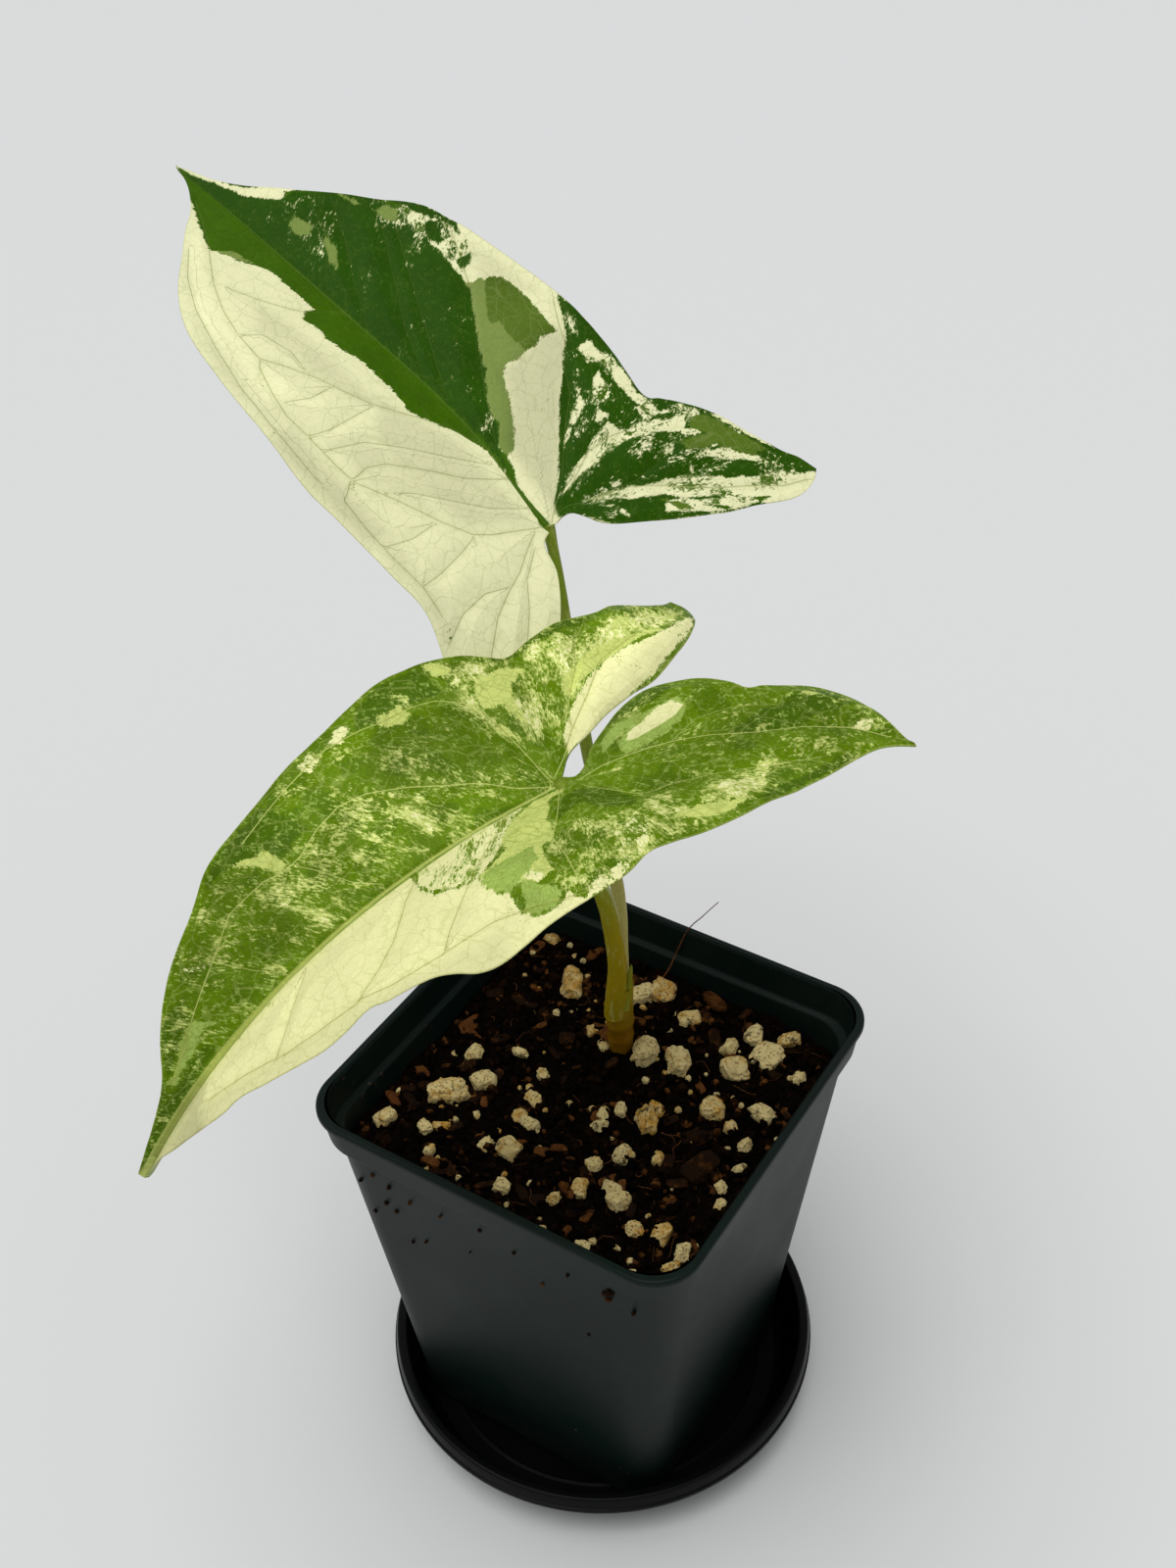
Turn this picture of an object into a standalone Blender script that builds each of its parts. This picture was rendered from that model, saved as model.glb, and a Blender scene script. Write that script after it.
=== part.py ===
"""An arrowhead plant with two variegated leaves, in a square nursery pot on a round saucer.

Metres, +Z up. The origin is the centre of the saucer's underside, and X and Y run along the
sides of the pot. Every sub-part is a closed solid in its own object.
"""

import math

import bmesh
import bpy
import numpy as np

# Saucer: a round dish that the pot stands in.
SAUCER_RIM_RADIUS = 0.0502
SAUCER_FOOT_RADIUS = 0.0440
SAUCER_HEIGHT = 0.0148
SAUCER_FLOOR = 0.0018
SAUCER_WALL = 0.0014
SAUCER_RIM_BAND = 0.0042
SAUCER_RIM_LEAN = 0.0009
SAUCER_RIM_WIDTH = 0.0022
SAUCER_BAND_STEP = 0.0022
SAUCER_GROOVE = 0.0004
SAUCER_GROOVE_RISE = 0.0012
SAUCER_FOOT_BEVEL = 0.0008
SAUCER_COVE = 0.0012
SAUCER_EDGE = 0.0004
SAUCER_SIDES = 56

# Pot: a tapered square with round corners and a straight collar under its lip.
GAP = 0.0003
POT_FOOT = SAUCER_FLOOR + GAP
POT_TOP = 0.1040
POT_TOP_HALF = 0.0450
POT_FOOT_HALF = 0.0320
POT_TOP_CORNER = 0.0105
POT_FOOT_CORNER = 0.0075
POT_COLLAR_HEIGHT = 0.0086
POT_COLLAR_HALF = 0.0436
POT_BODY_HALF = 0.0422
POT_WALL = 0.0013
POT_FLOOR = 0.0016
POT_LIP_HEIGHT = 0.0016
POT_LIP_OVERHANG = 0.0006
POT_FOOT_ROUND = 0.0022
POT_COVE = 0.0010
POT_EDGE = 0.0004
POT_CORNER_STEPS = 6
INNER_CORNER_TRIM = 0.0010
DRAIN_RADIUS = 0.0032
DRAIN_OFFSET = 0.0190
DRAIN_SIDES = 16

# Potting mix: it fills the pot to a little below the lip and rises to the stem.
MIX_EDGE_LEVEL = 0.0905
MIX_MIDDLE_LEVEL = 0.0925
MIX_BELOW_LEDGE = 0.0045
MIX_FOOT_INSET = 0.0016
MIX_FOOT_RISE = 0.0015
MIX_SIDES = 56
MIX_RINGS = 9
# Lumps on the mix: height, radians per metre along X and Y, and phase of each wave.
MIX_WAVES = (
    (0.00028, 310, 270, 1.7), (0.00028, 310, -270, 0.9), (0.00039, 520, -410, 2.1),
    (0.00028, 350, 760, 1.6),
)
GRAIN_SEED = 7
GRAIN_COUNT = 26
GRAIN_SIZES = (0.0026, 0.0044)
GRAIN_STRETCH = ((0.85, 0.75, 0.70), (1.20, 1.00, 0.95))
GRAIN_UNEVEN = (0.88, 1.08)
GRAIN_SINK = 0.12
GRAIN_SPACING = 0.62
GRAIN_STEM_GAP = 0.0010
GRAIN_EDGE_GAP = 0.0060
# The large pumice grains that lie on the mix: x, y and width of each.
LARGE_GRAINS = (
    (-0.022, 0.025, 0.0058), (-0.007, 0.030, 0.0049), (-0.002, 0.034, 0.0051),
    (0.006, 0.030, 0.0044), (0.005, 0.012, 0.0052), (0.011, 0.016, 0.0058),
    (0.022, 0.022, 0.0060), (0.026, 0.029, 0.0058), (0.020, 0.033, 0.0039),
    (-0.028, -0.016, 0.0068), (-0.023, -0.009, 0.0047), (-0.030, -0.003, 0.0039),
    (-0.008, -0.022, 0.0057), (0.013, 0.000, 0.0050), (0.023, 0.009, 0.0052),
    (0.029, 0.006, 0.0038), (0.033, 0.014, 0.0046), (-0.011, -0.009, 0.0036),
    (0.010, -0.024, 0.0038), (0.018, -0.022, 0.0046), (0.026, -0.026, 0.0040),
    (0.031, -0.024, 0.0043), (0.031, -0.035, 0.0036), (0.020, -0.008, 0.0034),
)

# Stem: a short crown in the mix that carries both leaf stalks.
STEM_BASE = (-0.0024, 0.0138)
STEM_TOP = (-0.0019, 0.0135)
STEM_FOOT_LEVEL = 0.0846
STEM_TOP_LEVEL = 0.1120
STEM_BASE_RADIUS = 0.0028
STEM_TOP_RADII = (0.0025, 0.0035)
STEM_TAPER_LEVEL = 0.0940
STEM_TAPER_POWER = 0.7
STEM_SIDES = 16
STEM_RINGS = 9
BUD_PLACE = (0.0002, 0.0128, 0.1090)
BUD_TILT = (24, 30)
BUD_LENGTH = 0.0036
BUD_RADIUS = 0.0011
BUD_POINT_RADIUS = 0.00017
BUD_SIDES = 8

# Leaf stalks: the points that each one follows from the stem. Its last point is worked out
# from its leaf, and its end is cut parallel to the blade.
STALK_SIDES = 10
STALK_STEPS = 26
LOWER_STALK_RADII = (0.00200, 0.00105)
LOWER_STALK = (
    (-0.0016, 0.0110, 0.1124), (-0.0009, 0.0108, 0.1210), (-0.0005, 0.0086, 0.1320),
    (0.0010, 0.0036, 0.1455), (0.0024, -0.0048, 0.1628), (0.0040, -0.0127, 0.1790),
)
UPPER_STALK_RADII = (0.00135, 0.00105)
UPPER_STALK = (
    (-0.0024, 0.0151, 0.1123), (-0.0029, 0.0156, 0.1200), (-0.0048, 0.0180, 0.1330),
    (-0.0102, 0.0212, 0.1460), (-0.0166, 0.0250, 0.1600), (-0.0225, 0.0298, 0.1765),
    (-0.0273, 0.0340, 0.1930),
)

# Blades. A point of a blade is (along, across): metres along the midrib from the junction
# with the stalk towards the apex, and metres to the blade's left, seen from above.
BLADE_THICKNESS = 0.00085
BLADE_ROWS = 4
MARGIN_WAVE = 0.0003
MARGIN_WAVE_STEP = 1.1
MARGIN_WAVE_SLOW = 0.43
FRONT_STEPS = 26
LOBE_STEPS = 14
CURVE_STEPS = 400
WELD_STEP = 1e-7
SOFT_MIDRIB = 0.003
SOFT_BACK = 0.008
SOFT_LOBE = 0.005
SPINE_END = 0.955

LOWER_LEAF = {
    "junction": (0.0057, -0.0177, 0.1924),
    "turn": (-1.8, 1.2, -115.1),
    "droop": 9.4,
    "fold": (0.58, 0.46),
    "arch": (-8.8, -4.4),
    "twist": (2.5, -1.7),
    "inner": (0.60, 0.0),
    "lobe_angle": (146.0, 146.0),
    "apex": (0.1040, -0.0001),
    "notch": (-0.0006, -0.0016),
    "front": (
        ((0.1010, 0.0005), (0.0980, 0.0017), (0.0940, 0.0042), (0.0900, 0.0066),
         (0.0850, 0.0094), (0.0800, 0.0121), (0.0760, 0.0132), (0.0700, 0.0166),
         (0.0640, 0.0197), (0.0590, 0.0218), (0.0545, 0.0223), (0.0500, 0.0222),
         (0.0465, 0.0240), (0.0400, 0.0262), (0.0365, 0.0288), (0.0335, 0.0317),
         (0.0290, 0.0328), (0.0200, 0.0318), (0.0120, 0.0316), (0.0060, 0.0308),
         (0.0010, 0.0288)),
        ((0.0990, -0.0012), (0.0945, -0.0025), (0.0880, -0.0050), (0.0820, -0.0102),
         (0.0740, -0.0155), (0.0640, -0.0202), (0.0570, -0.0240), (0.0480, -0.0263),
         (0.0370, -0.0290), (0.0290, -0.0306), (0.0210, -0.0331), (0.0140, -0.0342),
         (0.0080, -0.0338), (0.0020, -0.0320), (-0.0020, -0.0296)),
    ),
    "lobe": (
        ((-0.0030, 0.0290), (-0.0080, 0.0299), (-0.0140, 0.0300), (-0.0240, 0.0292),
         (-0.0340, 0.0272), (-0.0420, 0.0253), (-0.0480, 0.0247)),
        ((-0.0060, -0.0278), (-0.0120, -0.0304), (-0.0200, -0.0337), (-0.0280, -0.0347),
         (-0.0330, -0.0365), (-0.0400, -0.0371), (-0.0465, -0.0382)),
    ),
    "lobe_tip": ((-0.0537, 0.0266), (-0.0505, -0.0402)),
    "inside": (
        ((-0.0528, 0.0240), (-0.0523, 0.0170), (-0.0503, 0.0100), (-0.0465, 0.0046),
         (-0.0405, 0.0014), (-0.0370, 0.0006), (-0.0345, -0.0020), (-0.0310, -0.0057),
         (-0.0245, -0.0092), (-0.0180, -0.0084), (-0.0120, -0.0052), (-0.0080, -0.0028),
         (-0.0055, -0.0006), (-0.0028, 0.0001)),
        ((-0.0530, -0.0390), (-0.0534, -0.0368), (-0.0523, -0.0337), (-0.0485, -0.0295),
         (-0.0440, -0.0254), (-0.0370, -0.0200), (-0.0300, -0.0153), (-0.0230, -0.0128),
         (-0.0160, -0.0100), (-0.0110, -0.0075), (-0.0065, -0.0058), (-0.0030, -0.0049)),
    ),
    "lobe_vein": (
        ((-0.0080, 0.0010), (-0.0200, 0.0042), (-0.0320, 0.0110), (-0.0460, 0.0190)),
        ((-0.0080, -0.0085), (-0.0170, -0.0165), (-0.0280, -0.0245), (-0.0400, -0.0310)),
    ),
}

UPPER_LEAF = {
    "junction": (-0.0304, 0.0353, 0.2061),
    "turn": (-8.6, -31.3, 171.8),
    "droop": 1.9,
    "fold": (0.24, 0.21),
    "arch": (-0.9, -0.5),
    "twist": (-10.0, 0.7),
    "inner": (0.0, 0.10),
    "lobe_angle": (122.0, 116.0),
    "apex": (0.1140, 0.0),
    "notch": (-0.0008, -0.0006),
    "front": (
        ((0.1084, 0.0018), (0.1041, 0.0043), (0.0999, 0.0076), (0.0951, 0.0128),
         (0.0889, 0.0186), (0.0820, 0.0252), (0.0748, 0.0302), (0.0672, 0.0332),
         (0.0552, 0.0353), (0.0410, 0.0370), (0.0300, 0.0384), (0.0240, 0.0384),
         (0.0172, 0.0380), (0.0070, 0.0374)),
        ((0.1098, -0.0016), (0.1054, -0.0035), (0.1000, -0.0072), (0.0940, -0.0123),
         (0.0865, -0.0191), (0.0782, -0.0252), (0.0725, -0.0299), (0.0652, -0.0324),
         (0.0555, -0.0343), (0.0454, -0.0360), (0.0350, -0.0372), (0.0226, -0.0366),
         (0.0100, -0.0346)),
    ),
    "lobe": (
        ((-0.0020, 0.0366), (-0.0107, 0.0392), (-0.0200, 0.0424), (-0.0290, 0.0436)),
        ((0.0068, -0.0366), (0.0035, -0.0392), (-0.0002, -0.0418), (-0.0040, -0.0438),
         (-0.0100, -0.0459), (-0.0170, -0.0484), (-0.0205, -0.0502)),
    ),
    "lobe_tip": ((-0.0365, 0.0425), (-0.0243, -0.0512)),
    "inside": (
        ((-0.0350, 0.0370), (-0.0295, 0.0280), (-0.0225, 0.0188), (-0.0163, 0.0122),
         (-0.0093, 0.0065), (-0.0029, 0.0038)),
        ((-0.0258, -0.0492), (-0.0266, -0.0455), (-0.0258, -0.0415), (-0.0225, -0.0355),
         (-0.0198, -0.0294), (-0.0140, -0.0196), (-0.0072, -0.0099), (-0.0030, -0.0072),
         (-0.0004, -0.0053)),
    ),
    "lobe_vein": (
        ((-0.0030, 0.0080), (-0.0090, 0.0200), (-0.0190, 0.0320), (-0.0290, 0.0390)),
        ((-0.0010, -0.0090), (-0.0050, -0.0200), (-0.0140, -0.0330), (-0.0220, -0.0440)),
    ),
}

SHARP_ANGLE = 40

# Finishes: colour and roughness of each.
BLACK_PLASTIC = ((0.012, 0.012, 0.013), 0.34)
CHARCOAL_PLASTIC = ((0.030, 0.031, 0.033), 0.42)
DARK_MIX = ((0.028, 0.016, 0.011), 0.95)
STEM_OLIVE = ((0.16, 0.15, 0.05), 0.55)
STALK_GREEN = ((0.16, 0.21, 0.05), 0.50)
LEAF_LIGHT_GREEN = ((0.27, 0.40, 0.07), 0.42)
LEAF_CREAM_GREEN = ((0.55, 0.60, 0.33), 0.42)


def clear_objects():
    for old in list(bpy.data.objects):
        bpy.data.objects.remove(old, do_unlink=True)


def finish(name, colour_and_roughness):
    """A plain material with the finish's colour and roughness."""
    colour, roughness = colour_and_roughness
    made = bpy.data.materials.new(name)
    made.use_nodes = True
    shader = made.node_tree.nodes["Principled BSDF"]
    shader.inputs["Base Color"].default_value = (*colour, 1.0)
    shader.inputs["Roughness"].default_value = roughness
    shader.inputs["Metallic"].default_value = 0.0
    return made


def add_object(name, points, faces, made):
    """A mesh object from points and faces, shaded smooth with its sharp edges kept."""
    mesh = bpy.data.meshes.new(name)
    mesh.from_pydata([tuple(p) for p in points], [], [tuple(f) for f in faces])
    mesh.validate()
    mesh.materials.append(made)
    mesh.shade_smooth()
    mesh.set_sharp_from_angle(angle=math.radians(SHARP_ANGLE))
    part = bpy.data.objects.new(name, mesh)
    bpy.context.scene.collection.objects.link(part)
    return part


def loft(rings):
    """Points and faces of a closed skin over rings of equal count, with a fan at each end."""
    rings = np.asarray(rings, float)
    count, sides = rings.shape[:2]
    points = np.concatenate([rings.reshape(-1, 3), [rings[0].mean(0)], [rings[-1].mean(0)]])
    first, last = count * sides, count * sides + 1
    faces = []
    for j in range(sides):
        k = (j + 1) % sides
        faces.append((first, k, j))
        for i in range(count - 1):
            a, b = i * sides, (i + 1) * sides
            faces.append((a + j, a + k, b + k, b + j))
        faces.append((last, (count - 1) * sides + j, (count - 1) * sides + k))
    return points, faces


def circle(radius, height, sides, centre=(0.0, 0.0)):
    turn = np.arange(sides) * 2 * math.pi / sides
    flat = np.stack([centre[0] + radius * np.cos(turn), centre[1] + radius * np.sin(turn)], 1)
    return np.column_stack([flat, np.full(sides, height)])


def round_square(half, corner, height):
    """A square of the given half width whose corners are arcs."""
    steps = np.linspace(0.0, math.pi / 2, POT_CORNER_STEPS + 1)
    points = []
    for quarter in range(4):
        start = quarter * math.pi / 2
        middle = start + math.pi / 4
        reach = (half - corner) * math.sqrt(2)
        centre = reach * np.array([math.cos(middle), math.sin(middle)])
        for step in steps:
            arm = corner * np.array([math.cos(start + step), math.sin(start + step)])
            points.append((*(centre + arm), height))
    return np.array(points)


def make_saucer():
    """A dish turned from its underside's centre, up the outside, and down to its floor.

    Its rim is a band that leans inwards, with a groove above its lower edge.
    """
    lip = SAUCER_RIM_RADIUS
    top = SAUCER_HEIGHT
    band_foot = top - SAUCER_RIM_BAND
    outer_top = lip - SAUCER_RIM_LEAN
    inner_top = outer_top - SAUCER_RIM_WIDTH
    groove = band_foot + SAUCER_GROOVE_RISE
    floor_edge = SAUCER_FOOT_RADIUS - SAUCER_WALL
    profile = (
        (SAUCER_FOOT_RADIUS - SAUCER_FOOT_BEVEL, 0.0),
        (SAUCER_FOOT_RADIUS, SAUCER_FOOT_BEVEL),
        (lip - SAUCER_BAND_STEP, band_foot - SAUCER_EDGE),
        (lip - SAUCER_EDGE, band_foot - SAUCER_EDGE / 2),
        (lip, band_foot),
        (lip, groove - SAUCER_GROOVE),
        (lip - SAUCER_GROOVE * 2, groove),
        (lip - SAUCER_GROOVE, groove + SAUCER_GROOVE),
        (outer_top, top - SAUCER_EDGE),
        (outer_top - SAUCER_EDGE, top),
        (inner_top + SAUCER_EDGE, top),
        (inner_top, top - SAUCER_EDGE),
        (floor_edge + SAUCER_COVE, SAUCER_FLOOR + SAUCER_COVE),
        (floor_edge, SAUCER_FLOOR),
        (SAUCER_FOOT_RADIUS / 2, SAUCER_FLOOR),
    )
    rings = [circle(radius, height, SAUCER_SIDES) for radius, height in profile]
    return add_object("saucer", *loft(rings), finish("saucer_plastic", BLACK_PLASTIC))


def body_half(height):
    """Outer half width of the pot's tapered body, under the collar, at a height."""
    share = (height - POT_FOOT) / (POT_TOP - POT_COLLAR_HEIGHT - POT_FOOT)
    return POT_FOOT_HALF + share * (POT_BODY_HALF - POT_FOOT_HALF)


def corner_at(height):
    share = (height - POT_FOOT) / (POT_TOP - POT_FOOT)
    return POT_FOOT_CORNER + share * (POT_TOP_CORNER - POT_FOOT_CORNER)


def make_pot():
    """The outside from the foot to the lip, then the inside down to the floor."""
    ledge = POT_TOP - POT_COLLAR_HEIGHT
    lip_low = POT_TOP - POT_LIP_HEIGHT
    lip_half = POT_TOP_HALF
    collar_top = lip_half - POT_LIP_OVERHANG
    inner_half = lip_half - POT_WALL
    inner_floor = POT_FOOT + POT_FLOOR
    foot_top = POT_FOOT + POT_FOOT_ROUND
    cove_top = inner_floor + POT_COVE
    outside = (
        (POT_FOOT_HALF - POT_FOOT_ROUND, POT_FOOT),
        (POT_FOOT_HALF - POT_FOOT_ROUND / 4, POT_FOOT + POT_FOOT_ROUND / 4),
        (body_half(foot_top), foot_top),
        (body_half(ledge), ledge),
        (POT_COLLAR_HALF - POT_EDGE, ledge),
        (POT_COLLAR_HALF, ledge + POT_EDGE),
        (collar_top, lip_low - POT_EDGE),
        (lip_half, lip_low),
        (lip_half, POT_TOP - POT_EDGE),
        (lip_half - POT_EDGE, POT_TOP),
    )
    inside = (
        (inner_half, POT_TOP),
        (inner_half - POT_EDGE, POT_TOP - POT_EDGE),
        (POT_COLLAR_HALF - POT_WALL, ledge + POT_WALL),
        (body_half(ledge) - POT_WALL, ledge + POT_WALL - POT_EDGE),
        (body_half(cove_top) - POT_WALL, cove_top),
        (POT_FOOT_HALF - POT_WALL - POT_COVE, inner_floor),
    )
    rings = [round_square(half, corner_at(height), height) for half, height in outside]
    rings += [
        round_square(half, corner_at(height) - INNER_CORNER_TRIM, height)
        for half, height in inside
    ]
    pot = add_object("pot", *loft(rings), finish("pot_plastic", CHARCOAL_PLASTIC))
    cut_drains(pot)
    return pot


def cut_drains(pot):
    """Four round holes through the pot's floor."""
    for number, (x, y) in enumerate(((1, 1), (-1, 1), (-1, -1), (1, -1))):
        bpy.ops.mesh.primitive_cylinder_add(
            vertices=DRAIN_SIDES, radius=DRAIN_RADIUS, depth=POT_FLOOR * 4,
            location=(x * DRAIN_OFFSET, y * DRAIN_OFFSET, POT_FOOT + POT_FLOOR / 2),
        )
        cutter = bpy.context.object
        cutter.name = f"drain_cutter_{number}"
        cutter.hide_render = True
        cutter.display_type = "WIRE"
        cut = pot.modifiers.new(f"drain_{number}", "BOOLEAN")
        cut.operation = "DIFFERENCE"
        cut.solver = "EXACT"
        cut.object = cutter


def even_ring(ring, count):
    """A ring's outline at equal steps along its length, starting on +X."""
    start = int(np.argmin(np.abs(np.arctan2(ring[:, 1], ring[:, 0]))))
    closed = np.roll(ring, -start, axis=0)
    closed = np.concatenate([closed, closed[:1]])
    run = np.concatenate([[0.0], np.cumsum(np.linalg.norm(np.diff(closed, axis=0), axis=1))])
    at = np.linspace(0.0, run[-1], count, endpoint=False)
    return np.stack([np.interp(at, run, closed[:, axis]) for axis in range(3)], 1)


def mix_height(x, y):
    """The mix's level: a low mound round the stem with uneven lumps from crossed waves."""
    reach = np.clip(np.hypot(x - STEM_BASE[0], y - STEM_BASE[1]) / POT_BODY_HALF, 0, 1)
    level = MIX_MIDDLE_LEVEL + (MIX_EDGE_LEVEL - MIX_MIDDLE_LEVEL) * reach
    for height, by_x, by_y, phase in MIX_WAVES:
        level = level + height * np.sin(by_x * x + by_y * y + phase)
    return level


def make_potting_mix():
    """The pot's filling, with a plain socket for the stem and the grains fused on."""
    low = POT_FOOT + POT_FLOOR + GAP
    ledge = POT_TOP - POT_COLLAR_HEIGHT

    def wall_ring(half, height):
        ring = round_square(half, corner_at(height) - POT_WALL, height)
        return even_ring(ring, MIX_SIDES)

    below_ledge = ledge - MIX_BELOW_LEDGE
    foot_top = low + MIX_FOOT_RISE
    edge_half = body_half(below_ledge) - POT_WALL - GAP
    rings = [
        wall_ring(POT_FOOT_HALF - POT_WALL - MIX_FOOT_INSET, low),
        wall_ring(body_half(foot_top) - POT_WALL - GAP, foot_top),
        wall_ring(edge_half, below_ledge),
    ]
    rim = rings[-1]
    socket = circle(STEM_BASE_RADIUS + GAP, 0.0, MIX_SIDES, STEM_BASE)
    start = int(np.argmin(np.linalg.norm(socket[:, :2] - rim[0, :2], axis=1)))
    socket = np.roll(socket, -start, axis=0)
    for ring in range(1, MIX_RINGS + 1):
        share = ring / (MIX_RINGS + 1)
        flat = rim[:, :2] * (1 - share) + socket[:, :2] * share
        rings.append(np.column_stack([flat, mix_height(flat[:, 0], flat[:, 1])]))
    mouth = mix_height(socket[:, 0], socket[:, 1])
    bottom = np.full(MIX_SIDES, STEM_FOOT_LEVEL - GAP)
    rings.append(np.column_stack([socket[:, :2], mouth]))
    rings.append(np.column_stack([socket[:, :2], bottom]))
    points, faces = loft(rings)
    mix = add_object("potting_mix", points, faces, finish("potting_mix", DARK_MIX))
    fuse_grains(mix, edge_half)
    return mix


def grain_places(edge_half):
    """The large grains, and small ones drawn at random clear of them, the stem and the wall."""
    draw = np.random.default_rng(GRAIN_SEED)
    places = list(LARGE_GRAINS)
    reach = edge_half - GRAIN_EDGE_GAP
    while len(places) < len(LARGE_GRAINS) + GRAIN_COUNT:
        x, y = draw.uniform(-reach, reach, 2)
        size = draw.uniform(*GRAIN_SIZES)
        from_stem = math.hypot(x - STEM_BASE[0], y - STEM_BASE[1]) - STEM_BASE_RADIUS - size
        clear = from_stem > GRAIN_STEM_GAP and all(
            math.hypot(x - a, y - b) > (size + s) * GRAIN_SPACING for a, b, s in places
        )
        if clear:
            places.append((x, y, size))
    return places


def fuse_grains(mix, edge_half):
    """Uneven faceted grains, sunk into the mix and joined to it by one union."""
    draw = np.random.default_rng(GRAIN_SEED + 1)
    grains = bpy.data.collections.new("grains")
    bpy.context.scene.collection.children.link(grains)
    for number, (x, y, size) in enumerate(grain_places(edge_half)):
        mesh = bpy.data.meshes.new(f"grain_{number}")
        shape = bmesh.new()
        bmesh.ops.create_icosphere(shape, subdivisions=1, radius=size / 2)
        stretch = draw.uniform(*GRAIN_STRETCH)
        turn = draw.uniform(0, math.pi)
        level = float(mix_height(x, y)) - size * GRAIN_SINK
        for vertex in shape.verts:
            px, py, pz = np.array(vertex.co) * stretch * draw.uniform(*GRAIN_UNEVEN)
            vertex.co = (
                x + px * math.cos(turn) - py * math.sin(turn),
                y + px * math.sin(turn) + py * math.cos(turn),
                level + pz,
            )
        shape.to_mesh(mesh)
        shape.free()
        grains.objects.link(bpy.data.objects.new(f"grain_{number}", mesh))
    union = mix.modifiers.new("grains", "BOOLEAN")
    union.operation = "UNION"
    union.operand_type = "COLLECTION"
    union.solver = "EXACT"
    union.collection = grains
    apply_modifiers(mix)
    for grain in list(grains.objects):
        bpy.data.objects.remove(grain, do_unlink=True)
    bpy.data.collections.remove(grains)


def apply_modifiers(part):
    """The evaluated mesh takes the place of the object's mesh and its modifiers."""
    bpy.context.view_layer.update()
    seen = part.evaluated_get(bpy.context.evaluated_depsgraph_get())
    mesh = bpy.data.meshes.new_from_object(seen)
    part.modifiers.clear()
    part.data = mesh


def make_stem():
    """A tapering crown from round to oval, with one small bud on its right side."""
    rings = []
    for height in np.linspace(STEM_FOOT_LEVEL, STEM_TOP_LEVEL, STEM_RINGS):
        share = (height - STEM_FOOT_LEVEL) / (STEM_TOP_LEVEL - STEM_FOOT_LEVEL)
        taper = (height - STEM_TAPER_LEVEL) / (STEM_TOP_LEVEL - STEM_TAPER_LEVEL)
        above = np.clip(taper, 0, 1) ** STEM_TAPER_POWER
        centre = np.array(STEM_BASE) * (1 - share) + np.array(STEM_TOP) * share
        if height < MIX_EDGE_LEVEL:
            centre = np.array(STEM_BASE)
        ring = circle(1.0, height, STEM_SIDES)
        wide = STEM_BASE_RADIUS * (1 - above) + STEM_TOP_RADII[0] * above
        deep = STEM_BASE_RADIUS * (1 - above) + STEM_TOP_RADII[1] * above
        ring[:, 0] = centre[0] + ring[:, 0] * wide
        ring[:, 1] = centre[1] + ring[:, 1] * deep
        rings.append(ring)
    stem = add_object("stem", *loft(rings), finish("stem_skin", STEM_OLIVE))
    bpy.ops.mesh.primitive_cone_add(
        vertices=BUD_SIDES, radius1=BUD_RADIUS, radius2=BUD_POINT_RADIUS, depth=BUD_LENGTH,
        location=BUD_PLACE,
        rotation=(math.radians(BUD_TILT[0]), math.radians(BUD_TILT[1]), 0),
    )
    bud = bpy.context.object
    union = stem.modifiers.new("bud", "BOOLEAN")
    union.operation = "UNION"
    union.solver = "EXACT"
    union.object = bud
    apply_modifiers(stem)
    bpy.data.objects.remove(bud, do_unlink=True)
    return stem


def smooth_curve(points, count):
    """A Catmull-Rom curve through the points, at equal steps along its length."""
    knots = np.asarray(points, float)
    knots = np.concatenate([[2 * knots[0] - knots[1]], knots, [2 * knots[-1] - knots[-2]]])
    share = np.linspace(0.0, 1.0, 16, endpoint=False)[:, None]
    pieces = []
    for a, b, c, d in zip(knots, knots[1:], knots[2:], knots[3:]):
        pieces.append(
            0.5 * (2 * b + (c - a) * share + (2 * a - 5 * b + 4 * c - d) * share**2
                   + (3 * b - a - 3 * c + d) * share**3)
        )
    fine = np.concatenate(pieces + [knots[-2:-1]])
    run = np.concatenate([[0.0], np.cumsum(np.linalg.norm(np.diff(fine, axis=0), axis=1))])
    at = np.linspace(0.0, run[-1], count)
    return np.stack([np.interp(at, run, fine[:, axis]) for axis in range(fine.shape[1])], 1)


def make_stalk(name, leaf, route, radii):
    """A round tube carried along its route, thinner towards the leaf."""
    origin = np.zeros(2)
    levels = np.array([0.0, -BLADE_THICKNESS - GAP])
    junction, end = blade_place(leaf, origin, origin, levels)
    under = (junction - end) / np.linalg.norm(junction - end)
    path = smooth_curve([*route, end], STALK_STEPS)
    along = np.gradient(path, axis=0)
    along /= np.linalg.norm(along, axis=1)[:, None]
    side = np.array([1.0, 0.0, 0.0])
    rings = []
    for number, (centre, forward) in enumerate(zip(path, along)):
        side = side - forward * side.dot(forward)
        side /= np.linalg.norm(side)
        other = np.cross(forward, side)
        share = number / (STALK_STEPS - 1)
        radius = radii[0] * (1 - share) + radii[1] * share
        turn = np.arange(STALK_SIDES)[:, None] * 2 * math.pi / STALK_SIDES
        rings.append(centre + radius * (np.cos(turn) * side + np.sin(turn) * other))
    rings[-1] += np.outer((end - rings[-1]) @ under, along[-1]) / along[-1].dot(under)
    return add_object(name, *loft(rings), finish(name, STALK_GREEN))


def soft_ramp(distance, softness):
    """Zero below the start and the distance beyond it, with a rounded corner."""
    return 0.5 * (np.sqrt(distance**2 + softness**2) + distance - softness)


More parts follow.
